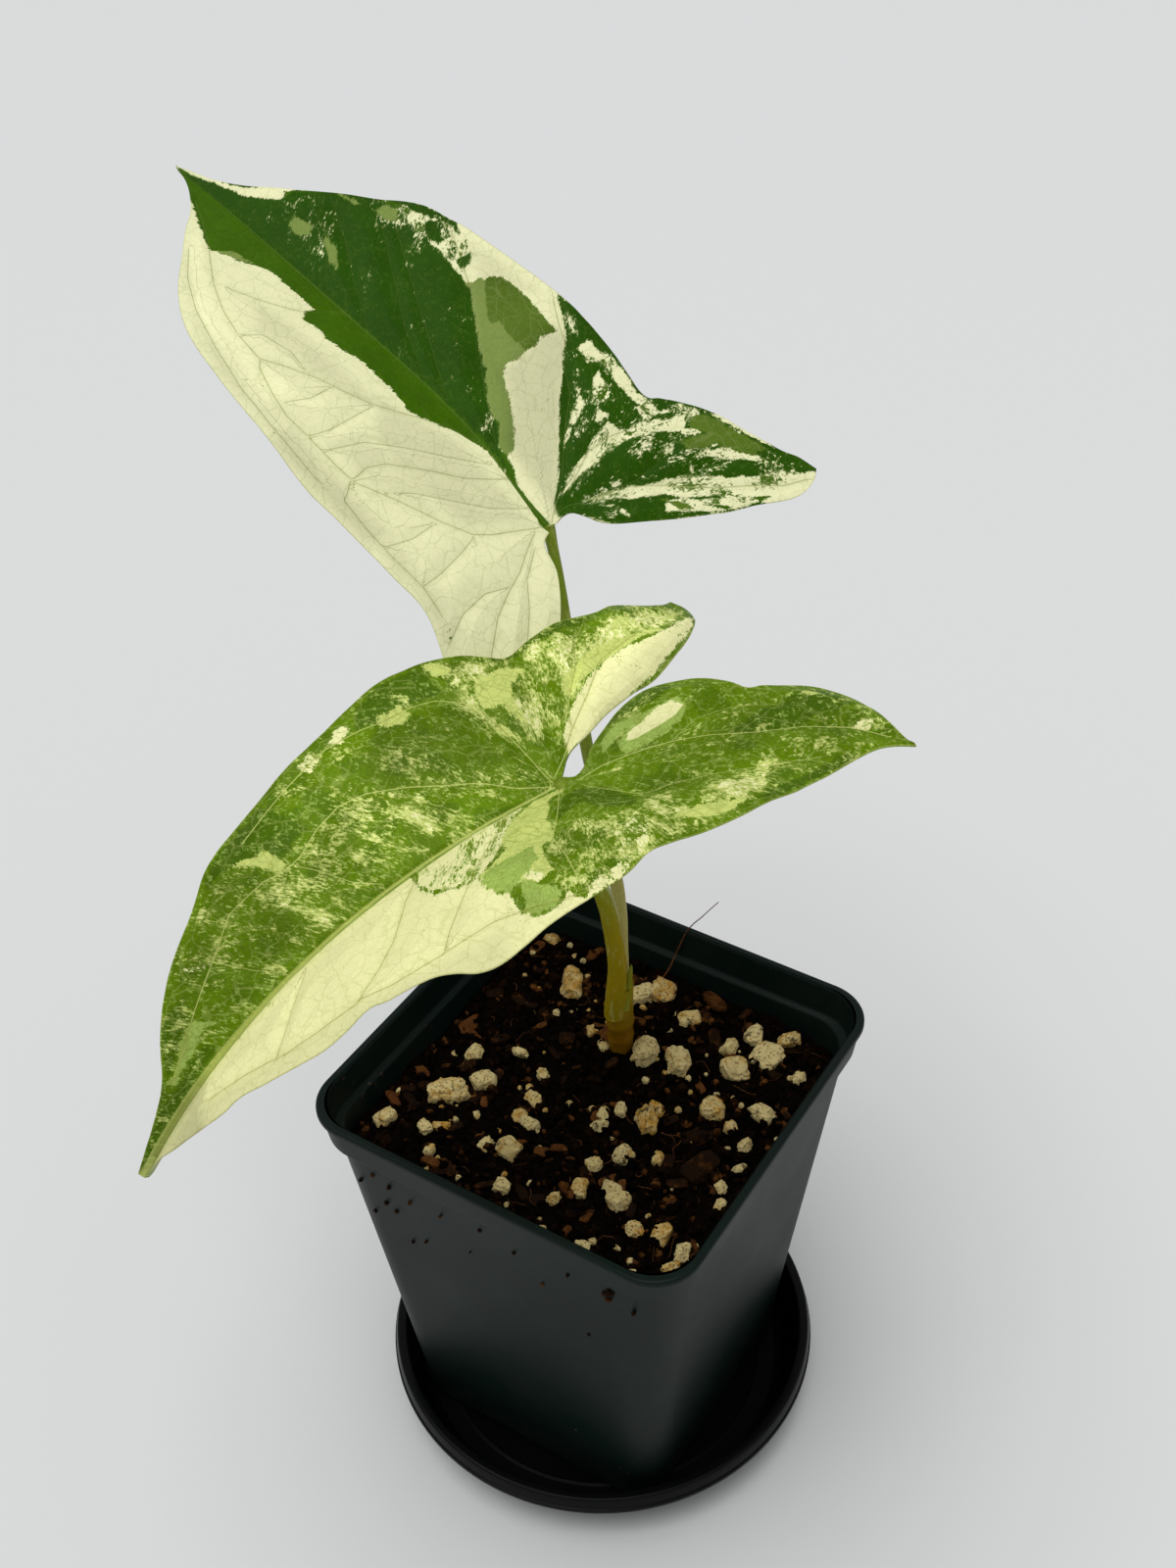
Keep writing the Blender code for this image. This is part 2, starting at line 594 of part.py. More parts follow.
def blade_heights(leaf, side, along, across):
    """Height over the midrib's arc: each half folds up, arches back, and its lobe twists."""
    outward = np.where(side == 0, across, -across)
    wide = np.sign(outward) * (np.sqrt(outward**2 + SOFT_MIDRIB**2) - SOFT_MIDRIB)
    wide = np.where(side == 1, np.abs(wide), wide)
    fold, arch, twist, inner, angle = (
        np.choose(side, leaf[key]) for key in ("fold", "arch", "twist", "inner", "lobe_angle")
    )
    angle = np.radians(angle)
    back = soft_ramp(-along, SOFT_BACK)
    towards_notch = -np.sin(angle) * along + np.cos(angle) * outward
    return (
        fold * wide + arch * across**2 + twist * back * np.abs(wide)
        + inner * soft_ramp(towards_notch, SOFT_LOBE)
    )


def blade_place(leaf, along, across, height):
    """From blade coordinates to metres: bend along the midrib, then turn and move."""
    droop = leaf["droop"]
    bend = droop * along
    local = np.stack([
        np.sin(bend) / droop + np.sin(bend) * height,
        across,
        (np.cos(bend) - 1) / droop + np.cos(bend) * height,
    ], -1)
    roll, pitch, turn = (math.radians(angle) for angle in leaf["turn"])
    about_x = np.array([[1, 0, 0], [0, math.cos(roll), -math.sin(roll)],
                        [0, math.sin(roll), math.cos(roll)]])
    about_y = np.array([[math.cos(pitch), 0, math.sin(pitch)], [0, 1, 0],
                        [-math.sin(pitch), 0, math.cos(pitch)]])
    about_z = np.array([[math.cos(turn), -math.sin(turn), 0],
                        [math.sin(turn), math.cos(turn), 0], [0, 0, 1]])
    return local @ (about_z @ about_y @ about_x).T + np.array(leaf["junction"])


def half_outline(leaf, side):
    """Margin and spine of one half, from the apex round the lobe to the notch."""
    apex, notch, tip = leaf["apex"], leaf["notch"], leaf["lobe_tip"][side]
    front, lobe, inside = leaf["front"][side], leaf["lobe"][side], leaf["inside"][side]
    outer = smooth_curve([apex, *front, *lobe, tip], CURVE_STEPS)
    shoulder = int(np.argmin(np.linalg.norm(outer - np.array(front[-1]), axis=1)))
    junction = (0.0, 0.0)
    vein = smooth_curve([junction, *leaf["lobe_vein"][side], tip], CURVE_STEPS)
    vein = vein[: int(len(vein) * SPINE_END)]
    rib_end = (apex[0] * SPINE_END, apex[1] * SPINE_END)

    def thin(curve, steps):
        run = np.concatenate([[0], np.cumsum(np.linalg.norm(np.diff(curve, axis=0), axis=1))])
        at = np.linspace(0, run[-1], steps + 1)
        return np.stack([np.interp(at, run, curve[:, axis]) for axis in range(2)], 1)

    margin = np.concatenate([
        thin(outer[: shoulder + 1], FRONT_STEPS),
        thin(outer[shoulder:], LOBE_STEPS)[1:],
        smooth_curve([tip, *inside, notch], LOBE_STEPS + 1)[1:],
    ])
    down = thin(vein, LOBE_STEPS)
    spine = np.concatenate([
        np.linspace(rib_end, junction, FRONT_STEPS + 1), down[1:], down[::-1][1:],
    ])
    return margin, spine


def blade_grid(leaf):
    """Flat grid points, their side, and quads: rows run from the spine to the margin."""
    share = np.linspace(0.0, 1.0, BLADE_ROWS + 1)[None, :, None]
    flats, sides, waves = [], [], []
    for side in (0, 1):
        margin, spine = half_outline(leaf, side)
        if side == 1:
            margin, spine = margin[::-1][1:-1], spine[::-1][1:-1]
        flats.append(spine[:, None] * (1 - share) + margin[:, None] * share)
        sides.append(np.full(flats[-1].shape[:2], side))
        run = np.arange(len(margin))[:, None] * MARGIN_WAVE_STEP
        wave = np.sin(run) + np.sin(MARGIN_WAVE_SLOW * run + side)
        waves.append(MARGIN_WAVE * share[..., 0] ** 3 * wave)
    return np.concatenate(flats), np.concatenate(sides), np.concatenate(waves)


def make_blade(name, leaf, made):
    """A thin solid: the top sheet, the same sheet lower down, and a wall round the margin."""
    flat, side, wave = blade_grid(leaf)
    columns, rows = side.shape
    along, across = flat[..., 0].ravel(), flat[..., 1].ravel()
    height = blade_heights(leaf, side.ravel(), along, across) + wave.ravel()
    keys = np.round(flat.reshape(-1, 2) / WELD_STEP).astype(np.int64)
    _, first, index = np.unique(keys, axis=0, return_index=True, return_inverse=True)
    index = index.reshape(-1)
    mean = np.bincount(index, height) / np.bincount(index)
    top = blade_place(leaf, along[first], across[first], mean)
    under = blade_place(leaf, along[first], across[first], mean - BLADE_THICKNESS)
    grid = index.reshape(columns, rows)
    shift = len(top)
    faces = []
    for column in range(columns):
        here, there = grid[column], grid[(column + 1) % columns]
        for row in range(rows - 1):
            for corner in ((here[row], there[row], there[row + 1]),
                           (here[row], there[row + 1], here[row + 1])):
                if len(set(corner)) == 3:
                    a, b, c = (int(value) for value in corner)
                    faces.append((a, c, b))
                    faces.append((a + shift, b + shift, c + shift))
        a, b = int(here[-1]), int(there[-1])
        faces.append((a, a + shift, b + shift))
        faces.append((a, b + shift, b))
    return add_object(name, np.concatenate([top, under]), faces, made)


def main():
    clear_objects()
    make_saucer()
    make_pot()
    make_potting_mix()
    make_stem()
    make_stalk("lower_stalk", LOWER_LEAF, LOWER_STALK, LOWER_STALK_RADII)
    make_stalk("upper_stalk", UPPER_LEAF, UPPER_STALK, UPPER_STALK_RADII)
    make_blade("lower_leaf", LOWER_LEAF, finish("lower_leaf_skin", LEAF_LIGHT_GREEN))
    make_blade("upper_leaf", UPPER_LEAF, finish("upper_leaf_skin", LEAF_CREAM_GREEN))


main()
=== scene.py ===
"""Looks of a two-leaved arrowhead plant in a square nursery pot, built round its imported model.

The file is laid out as an add-on and is run as a script. Metres, +Z up, the origin at the middle
of the saucer's underside. Lengths whose names end in _MM, and all blade outlines, veins and
patches, are in millimetres.
"""

import math
import bmesh
import bpy
import numpy as np
from mathutils import Matrix


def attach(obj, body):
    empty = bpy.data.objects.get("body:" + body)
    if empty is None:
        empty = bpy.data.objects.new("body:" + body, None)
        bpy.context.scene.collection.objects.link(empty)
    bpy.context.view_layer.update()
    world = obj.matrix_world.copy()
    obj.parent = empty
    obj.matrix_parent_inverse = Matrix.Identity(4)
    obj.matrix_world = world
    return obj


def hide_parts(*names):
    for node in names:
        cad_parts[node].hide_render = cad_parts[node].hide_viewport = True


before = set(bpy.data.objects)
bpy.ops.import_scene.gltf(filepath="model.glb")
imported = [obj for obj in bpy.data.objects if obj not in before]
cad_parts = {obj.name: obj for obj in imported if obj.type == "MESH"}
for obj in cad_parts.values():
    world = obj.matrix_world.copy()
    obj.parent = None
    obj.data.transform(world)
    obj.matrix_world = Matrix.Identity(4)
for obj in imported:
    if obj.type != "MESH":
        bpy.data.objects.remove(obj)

bl_info = {
    "name": "Arrowhead plant",
    "version": (1, 0, 0),
    "blender": (4, 5, 0),
    "location": "3D View > Sidebar > Arrowhead plant",
    "description": "Leaves, crown, potting mix, pot and saucer of a small arrowhead plant",
    "category": "Object",
}

MM = 0.001

# Camera: where it stands, its axes and its lens, for an image of 1200 by 1600.
CAMERA_PLACE = (0.1476, -0.2287, 0.3939)
CAMERA_RIGHT = (0.8489, 0.5282, -0.0210)
CAMERA_UP = (-0.3149, 0.5374, 0.7823)
CAMERA_BACK = (0.4245, -0.6575, 0.6225)
CAMERA_SENSOR_MM = 36.0
CAMERA_FOCAL_SHARE = 1900 / 1600
CAMERA_NEAR = 0.01

# Stage: half the floor's side, and the soft lamp's place, turn and angular size in degrees.
FLOOR_HALF = 40.0
FLOOR_ROUGHNESS = 0.6
FLOOR_SPECULAR = 0.2
LAMP_PLACE = (-0.25, -0.10, 1.05)
LAMP_TURN = (12, -6, 0)
LAMP_ANGLE = 48

# Saucer
SAUCER_RIM_RADIUS = 0.0502
SAUCER_FOOT_RADIUS = 0.0440
SAUCER_HEIGHT = 0.0148
SAUCER_FLOOR = 0.0018
SAUCER_WALL = 0.0014
SAUCER_RIM_BAND = 0.0042
SAUCER_RIM_LEAN = 0.0009
SAUCER_RIM_WIDTH = 0.0022
SAUCER_GROOVE = 0.0004
SAUCER_SIDES = 160

# Pot
GAP = 0.0003
POT_FOOT = SAUCER_FLOOR + GAP
POT_TOP = 0.1040
POT_TOP_HALF = 0.0450
POT_FOOT_HALF = 0.0320
POT_TOP_CORNER = 0.0105
POT_FOOT_CORNER = 0.0075
POT_COLLAR_HEIGHT = 0.0086
POT_COLLAR_HALF = 0.0436
POT_BODY_HALF = 0.0422
POT_WALL = 0.0013
POT_FLOOR = 0.0016
POT_LIP_HEIGHT = 0.0016
POT_LIP_OVERHANG = 0.0006
DRAIN_RADIUS = 0.0032
DRAIN_OFFSET = 0.0190
DRAIN_SIDES = 40
PLASTIC_BUMP = 0.00012

# Potting mix: levels of its mound, heights of its unevenness, and a low ring round the crown.
MIX_EDGE_LEVEL = 0.0905
MIX_MIDDLE_LEVEL = 0.0925
MIX_SWELL_HEIGHT = 0.0012
MIX_LUMP_HEIGHT = 0.0016
MIX_CRUMB_HEIGHT = 0.0010
MIX_RING_HEIGHT = 0.0010
MIX_RING_RADIUS = 0.005
MIX_RING_WIDTH = 0.003
# Its block: half its side, points along a side, how far its corners are drawn in, and the
# levels and the narrower foot of its walls.
MIX_HALF = 0.0407
MIX_SHEET_COUNT = 270
MIX_CORNER_DRAW = 0.064
MIX_WALL_LEVELS = (0.080, 0.045)
MIX_FOOT_RISE = 0.003
MIX_FOOT_SHARE = 0.96
# Seeds of the random draws.
CRUMB_SEED, BARK_SEED, GRAIN_SEED, FIBRE_SEED, CLINGING_SEED = 3, 5, 9, 13, 17
FIBRE_TINT = 0.1
RIM_ROOT_RADIUS = 0.00022

# Crown: round at its foot, and an oval above the level where it flares towards both stalks.
STEM_BASE = (-0.0024, 0.0138)
STEM_TOP = (-0.0019, 0.0135)
STEM_FOOT_LEVEL = 0.0846
STEM_TOP_LEVEL = 0.1120
STEM_TOP_RISE = 0.0006
STEM_FLARE_LEVEL = 0.094
STEM_FOOT_RADIUS = 0.0028
STEM_TOP_HALVES = (0.0025, 0.0035)
STEM_ROUND_MM = 2.8
# Its joint rings: level, half height and swell.
STEM_RINGS = ((0.1015, 0.0009, 0.10), (0.0972, 0.0008, 0.07))
BUD_FOOT = (-0.0002, 0.0122, 0.1072)
BUD_TIP = (-0.0001, 0.0152, 0.1180)
BUD_RADIUS = 0.0009
BUD_TIP_RADIUS = 0.00005

# Leaf stalks: their radii at the foot and at the neck, and the points of their routes.
LOWER_STALK_RADII = (0.00200, 0.00105)
LOWER_STALK = (
    (-0.0016, 0.0110, 0.1124), (-0.0009, 0.0108, 0.1210), (-0.0005, 0.0086, 0.1320),
    (0.0010, 0.0036, 0.1455), (0.0024, -0.0048, 0.1628), (0.0040, -0.0127, 0.1790),
)
UPPER_STALK_RADII = (0.00150, 0.00105)
UPPER_STALK = (
    (-0.0024, 0.0151, 0.1123), (-0.0029, 0.0156, 0.1200), (-0.0048, 0.0180, 0.1330),
    (-0.0097, 0.0212, 0.1460), (-0.0157, 0.0251, 0.1600), (-0.0220, 0.0298, 0.1765),
    (-0.0273, 0.0340, 0.1930),
)
# How far a stalk runs back into the crown, over its first step, and ends under its blade.
STALK_FOOT_SHARE = 0.8
STALK_NECK_DEPTH = 0.0004
# Where it swells: place and reach as shares of its length, and size.
STALK_SWELLS = ((0.0, 0.10, 0.10), (1.0, 0.035, 0.22))
STALK_UNEVEN = 0.07
STALK_ROUND_MM = 1.3
STALK_BUMP = 0.00010
STALK_SPECULAR = 0.10
SKIN_TONES = ("Olive", "Green", "Streak", "Brown")

# Blades. A point of a blade is (along, across): along the midrib from the junction with the
# stalk towards the apex, and to the blade's left, seen from above. The sheet's columns run round
# the outline and its rows outwards.
SOFT_MIDRIB = 0.003
SOFT_BACK = 0.008
SOFT_LOBE = 0.005
SPINE_END = 0.955
SHEET_ROWS = 70
SHEET_FRONT = 150
SHEET_LOBE = 80
RIM_INSET = 0.006
OUTLINE_STEPS = 1600
LOBE_VEIN_STEPS = 1600
LEAF_BUMP = 0.00030
# Reach of the pillows, grooves and ribs from a vein, as widths of the vein.
PILLOW_REACH = 4.0
GROOVE_REACH = 0.9
VEIN_RIB_REACH = 0.6
VEIN_RIB_HEIGHT = 0.00035
# The midrib: its width and the reach of its rib below in millimetres, and the rib's height and
# the share of it that is lost towards the apex.
MIDRIB_WIDTH = 1.3
MIDRIB_REACH = 0.95
MIDRIB_HEIGHT = 0.0009
MIDRIB_TAPER = 0.75
# Sizes of the unevenness in millimetres, and how strong it is.
PILLOW_NOISE, WAVE_NOISE, CRINKLE_NOISE = 9.0, 11.0, 4.0
PILLOW_UNEVEN, WAVE_UNEVEN, CRINKLE_UNEVEN = 0.5, 1.6, 0.12
# The share of a pillow's height that lies under the blade's middle, and where the ribs end on
# the way out.
PILLOW_SUNK = 0.55
RIB_END = 0.98
# Width in millimetres over which the edge of an outline acts.
TONE_REACH, FLECK_REACH, LIGHT_SHADE_REACH = 6.0, 3.0, 4.0
# The flow leans by this much in front of the junction, fans out by this much a radian behind
# it, and is moved this far apart on the two halves.
FLOW_LEAN, FLOW_FAN, FLOW_SIDE = 0.8, 30.0, 60.0

# The tones of a blade, from the palest to the darkest, and all its colours.
CREAM, PALE, GREY, GREEN, DARK = range(5)
LEAF_TONES = ("Cream", "Pale", "Grey", "Green", "Dark", "Vein", "Under")

# Node groups: the default of a colour, and the outputs that every group has.
MIDDLE_GREY = (0.5, 0.5, 0.5, 1.0)
GROUP_OUTPUTS = {
    "Color": "NodeSocketColor", "Roughness": "NodeSocketFloat", "Height": "NodeSocketFloat",
}

# Each blade: where its junction lies, its roll, pitch and turn in degrees, and its droop in
# radians a metre. A pair is for its left and its right half: fold is the rise outwards, arch the
# rise over the square of that way, twist the lobe's own rise, and inner the rise to the notch.
LOWER_LEAF = {
    "junction": (0.0057, -0.0177, 0.1924),
    "turn": (-1.8, 1.2, -115.1),
    "droop": 9.4,
    "fold": (0.58, 0.46),
    "arch": (-8.8, -4.4),
    "twist": (2.5, -1.7),
    "inner": (0.60, 0.0),
    "lobe_angle": (146.0, 146.0),
    "paint": {"Ragged": 0.62, "Mottle": 1.0, "Green Veins": 0.74, "Quilt": 0.82, "Heart": 0.115},
    "specular": 0.05,
    "apex": (104.0, -0.1),
    "notch": (-0.6, -1.6),
    "front": (
        ((101, 0.5), (98, 1.7), (94, 4.2), (90, 6.6), (85, 9.4), (80, 12.1), (76, 13.2),
         (70, 16.6), (64, 19.7), (59, 21.8), (54.5, 22.3), (50, 22.2), (46.5, 24),
         (40, 26.2), (36.5, 28.8), (33.5, 31.7), (29, 32.8), (20, 31.8), (12, 31.6),
         (6, 30.8), (1, 28.8)),
        ((99, -1.2), (94.5, -2.5), (88, -5), (82, -10.2), (74, -15.5), (64, -20.2),
         (57, -24), (48, -26.3), (37, -29), (29, -30.6), (21, -33.1), (14, -34.2),
         (8, -33.8), (2, -32), (-2, -29.6)),
    ),
    "lobe": (
        ((-3, 29), (-8, 29.9), (-14, 30), (-24, 29.2), (-34, 27.2), (-42, 25.3),
         (-48, 24.7)),
        ((-6, -27.8), (-12, -30.4), (-20, -33.7), (-28, -34.7), (-33, -36.5),
         (-40, -37.1), (-46.5, -38.2)),
    ),
    "lobe_tip": ((-53.7, 26.6), (-50.5, -40.2)),
    "inside": (
        ((-52.8, 24), (-52.3, 17), (-50.3, 10), (-46.5, 4.6), (-40.5, 1.4), (-37, 0.6),
         (-34.5, -2), (-31, -5.7), (-24.5, -9.2), (-18, -8.4), (-12, -5.2), (-8, -2.8),
         (-5.5, -0.6), (-2.8, 0.1)),
        ((-53, -39), (-53.4, -36.8), (-52.3, -33.7), (-48.5, -29.5), (-44, -25.4),
         (-37, -20), (-30, -15.3), (-23, -12.8), (-16, -10), (-11, -7.5), (-6.5, -5.8),
         (-3, -4.9)),
    ),
    "lobe_vein": (
        ((-8, 1), (-20, 4.2), (-32, 11), (-46, 19)),
        ((-8, -8.5), (-17, -16.5), (-28, -24.5), (-40, -31)),
    ),
    "midrib": ((0, 0), (104, -0.1)),
    # Width of each vein and its points.
    "veins": (
        (1.0, ((1, 0), (7, -3), (12, -7), (18, -10), (23, -13), (29, -16), (34, -17), (39, -16),
               (44, -14), (48, -14), (51, -15), (59, -15), (65, -12), (70, -10), (80, -6),
               (86, -4))),
        (0.9, ((1, -1), (2, -8), (3, -14), (4, -19), (6, -22), (10, -25), (14, -26), (19, -26),
               (23, -27), (30, -27.5), (40, -25.5), (50, -23))),
        (0.7, ((36, -1), (40, -5), (43, -10), (46, -14))),
        (0.6, ((58, -0.5), (62, -5), (66, -11))),
        (0.9, ((31, 1), (35, 5), (37, 8), (41, 13), (45, 16), (51, 19), (58, 17.5), (65, 15),
               (73, 10), (82, 5))),
        (0.6, ((13, 30), (27, 24.5), (36, 23.5), (45, 21.5), (51, 18.5))),
        (0.6, ((12, 0.6), (20, 7), (27, 14), (33, 20), (36, 23.5))),
        (0.5, ((55, 0.4), (60, 6), (64, 11), (67, 14))),
        (0.9, ((0, -2), (-4, -5), (-8, -9), (-15, -15), (-22, -22), (-26, -24), (-36, -29),
               (-47, -35), (-50, -38))),
        (0.9, ((-3, 1), (-8, 1), (-13, 2), (-20, 4), (-26, 7), (-32, 11), (-39, 14), (-46, 18),
               (-51, 23))),
        (0.7, ((-3, 3), (-7, 12), (-9, 14), (-13, 14), (-20, 16), (-28, 19), (-38, 22))),
        (0.8, ((1, 1), (5, 7), (8, 11), (10, 14), (11, 20), (13, 28))),
        (0.5, ((-20, 4), (-26, 2), (-33, 3), (-40, 7))),
        (0.5, ((-8, -9), (-11, -15), (-16, -21), (-20, -28), (-24, -32))),
    ),
    # The tone under all patches, and the patches in the order of painting.
    "base": GREEN,
    "patches": (
        (DARK, ((76, -0.5), (103, -0.2), (92, -2.6), (86, -2.2), (80, -3.2), (76, -2.5))),
        (DARK, ((86, -5), (80, -6.5), (76, -8.5), (74, -11), (80, -11.5), (84, -8))),
        (DARK, ((40, -17), (46, -16), (52, -20), (58, -21.5), (56, -24), (44, -26), (42, -22))),
        (DARK, ((8, -25.5), (14, -26.5), (24, -27), (22, -31), (16, -33.5), (9, -33))),
        (GREY, ((70, -2), (74, -5), (76, -8), (80, -7), (84, -4.5), (87, -4.5), (86, -2.8),
                (82, -3.6), (78, -3.4), (75, -4.5), (72, -3.5))),
        (PALE, ((46, -14.5), (48, -14.5), (50, -17), (53, -20), (55, -21), (52, -20.3),
                (48, -18.5), (46.5, -16))),
        (PALE, ((15, -24.5), (17, -23), (20, -25), (20.5, -27.3), (15.5, -27.2))),
        (CREAM, ((24, -29), (27, -26.5), (29, -28), (26, -30))),
        (CREAM, ((31, -27), (34, -25), (35, -27.5), (32, -28.5))),
        (CREAM, ((67, -11.5), (70, -13), (71, -14.5), (69, -12.8))),
        (PALE, ((52, -11), (54, -13.5), (52.5, -13.5))),
        (PALE, ((1, -8), (2.5, -12), (4.5, -14.5), (3, -15.5), (1.5, -12))),
        (CREAM, ((31.5, 0.3), (32, 6), (31, 10.5), (27.5, 12.3), (23.8, 12.5), (24.5, 16),
                 (24.2, 20), (22.3, 22), (23.3, 26), (22, 29.2), (18, 29.5), (15.5, 28),
                 (14, 31.9), (20, 36), (30, 36), (40, 30), (52, 27), (70, 20), (90, 10),
                 (104, 3), (104, 0.2), (60, 0.1))),
        (CREAM, ((9, 0.5), (14, 4), (17, 8), (20, 11.5), (24, 12.5), (29, 11), (31, 8),
                 (31.5, 3), (30, 0.4), (18, 0.2))),
        (PALE, ((0, 1), (5, 6), (9, 12), (12, 15), (16, 14), (17, 8), (13, 3), (6, 0.3))),
        (GREEN, ((1, 2), (4, 6), (7, 10), (9, 12), (7.5, 8), (5, 4), (3, 1.5))),
        (CREAM, ((8, 0.3), (12, 2.6), (16, 6.5), (19, 9.5), (17, 4), (13, 0.3))),
        (PALE, ((10, 13), (14, 9), (20, 12), (23, 13.5), (20.5, 21), (18, 23), (14, 22), (11, 18))),
        (GREY, ((16, 27), (18, 29.2), (21, 29), (23, 26.8), (21, 24.5), (20, 21), (19, 21),
                (18, 24), (16.5, 25.5))),
        (GREY, ((20.5, 21), (22, 22), (24, 20), (24.5, 16.5), (23.5, 13), (20, 13.5), (14, 14),
                (15, 18), (18, 20))),
        (CREAM, ((17, 20), (19, 20.5), (18, 23), (16.5, 22.5))),
        (DARK, ((-5, 6), (-6, 14), (-4, 17.5), (0, 14.5), (1.5, 9), (6, 9), (5, 6), (2, 3),
                (-1, 3.5), (-3, 4))),
        (GREEN, ((2, 21), (6, 23), (8, 27), (13, 25.5), (14.5, 21), (13, 15), (10, 14), (6, 16),
                 (3, 18))),
        (PALE, ((-20, 26.8), (-14, 28), (-9, 26.5), (-7, 24), (-11, 24), (-16, 25.5))),
        (CREAM, ((-3, 21), (-1, 25.3), (3, 25.5), (2, 23), (0.5, 21), (-2, 20))),
        (CREAM, ((4, 28), (8, 28.5), (12, 29), (14, 31.5), (8, 31), (5, 29.5))),
        (GREY, ((-25.5, -0.5), (-23.5, 1.5), (-17, 2), (-12, 1), (-12, -0.2), (-15, -2.3),
                (-21, -3.3), (-25, -2.5))),
        (GREY, ((-18, -2.5), (-15, -2.2), (-9, -0.5), (-10, -2.5), (-14, -4), (-18.5, -3.8))),
        (CREAM, ((-25, -0.7), (-23, 0.2), (-20, 0.4), (-15, 0.3), (-13.5, -0.2), (-15, -1.5),
                 (-18, -2), (-21, -2.8), (-24.5, -2))),
        (DARK, ((-50, 14), (-44, 13), (-38, 13.5), (-31, 11), (-28, 8.5), (-34, 7.5), (-44, 6),
                (-48, 8))),
        (DARK, ((-27, -6), (-22, -4.5), (-17, -5), (-12, -4.2), (-14, -7), (-20, -8.8),
                (-25, -9))),
        (DARK, ((-45, 25.5), (-35, 26.5), (-22, 29), (-20, 27.5), (-30, 25.5), (-40, 24))),
        (CREAM, ((-50, 18.5), (-48, 20), (-46, 18.3), (-48, 17.8))),
        (PALE, ((-46, 8.5), (-44, 8.3), (-43.5, 6.5), (-45.5, 7))),
        (CREAM, ((-5, -5.2), (-12, -7), (-22, -12), (-30, -16), (-40, -23.5), (-47, -28.5),
                 (-52.5, -34.5), (-49, -33), (-44, -30), (-38, -27), (-30, -24.5),
                 (-24, -22.5), (-20, -20), (-14, -16.5), (-9.5, -12), (-6, -8.5))),
        (PALE, ((-10, -15), (-20, -20.5), (-26, -23), (-33, -26), (-40, -28.5), (-36, -28.5),
                (-28, -26.5), (-20, -24), (-12, -19))),
        (PALE, ((-6.5, -23), (-3, -21), (-1.5, -18.5), (-1, -12), (0, -14), (0.5, -18),
                (3.8, -19), (3.6, -22), (2, -24.5), (-1, -24.8), (-3.5, -25.5))),
        (PALE, ((-34, -31.8), (-30, -29.3), (-27, -28), (-29, -30), (-32, -32))),
        (PALE, ((-50, -35.5), (-45, -33), (-46, -35))),
        (DARK, ((-33, -36), (-27, -34), (-20, -33.8), (-13, -31), (-7, -28.3), (-3, -28.5),
                (0, -29), (-5, -26.5), (-10, -28), (-17, -30.5), (-25, -32))),
        (PALE, ((4, -28.5), (8, -29), (8, -32.8), (6, -32.5), (4, -30))),
    ),
    # Share of flecks inside each outline, over the share of the whole blade.
    "fleck_base": 0.30,
    "flecks": (
        (0.47, ((4, -4), (40, -1), (70, -1), (84, -3), (70, -16), (48, -15), (34, -17),
                (18, -11))),
        (0.40, ((24, -24), (60, -17), (72, -14), (60, -22), (30, -30))),
        (0.30, ((60, -1), (84, -1), (80, -8), (66, -12), (60, -8))),
        (0.30, ((9, -6), (20, -13), (26, -17), (24, -23), (12, -22))),
        (0.03, ((33, 1), (33, 10), (24, 14), (25, 30), (40, 30), (104, 6), (104, 0))),
        (0.10, ((40, -17), (46, -16), (52, -20), (58, -21.5), (56, -24), (44, -26), (42, -22))),
        (0.50, ((9, 0.5), (14, 4), (17, 8), (20, 11.5), (24, 12.5), (29, 11), (31, 8),
                (31.5, 3), (30, 0.4), (18, 0.2))),
        (0.55, ((-10, 18), (-9, 27), (4, 30), (14, 31), (15, 24), (11, 14), (4, 14), (0, 17))),
        (0.04, ((-5, 6), (-6, 14), (-4, 17.5), (0, 14.5), (1.5, 9), (6, 9), (5, 6), (2, 3))),
        (0.36, ((-44, 22), (-42, 17), (-33, 15), (-20, 18), (-12, 20), (-10, 27), (-33, 26))),
        (0.60, ((-6, -12), (-2, -9), (8, -14), (6, -30), (-10, -28), (-24, -30), (-14, -20))),
        (0.70, ((-8, -12), (-24, -22), (-46, -32), (-50, -36), (-34, -33), (-14, -26))),
        (0.60, ((-30, 19), (-12, 22), (0, 21), (8, 26), (-8, 29), (-26, 26))),
        (0.02, ((-25, -0.7), (-20, 0.4), (-13.5, -0.2), (-18, -2.2), (-24.5, -2))),
        (0.08, ((-5, -6), (-22, -12.5), (-40, -24), (-50, -33), (-38, -27), (-20, -20))),
    ),
    # Painted light and shade, partly the tissue's own lightness: a factor on the colour in each
    # outline.
    "light_and_shade": (
        (0.74, ((86, 12), (104, 4), (104, -3), (88, -6), (82, 0))),
        (0.86, ((30, 36), (27, 28), (40, 24), (52, 19.5), (66, 15), (84, 5), (104, 2), (90, 12),
                (60, 26), (40, 32))),
        (1.22, ((-2, -6), (-6, -26), (-30, -34), (-50, -38), (-40, -28), (-20, -16))),
        (1.14, ((6, -1), (34, -1), (36, -15), (20, -10))),
        (0.84, ((5, -8), (20, -13), (28, -18), (24, -24), (10, -24))),
        (1.16, ((26, -16), (42, -16), (46, -24), (30, -29), (22, -26))),
        (0.80, ((52, -3), (84, -3), (76, -13), (56, -23), (50, -16))),
        (0.90, ((-50, 8), (-30, 4), (-8, 4), (-10, 14), (-40, 20))),
    ),
}

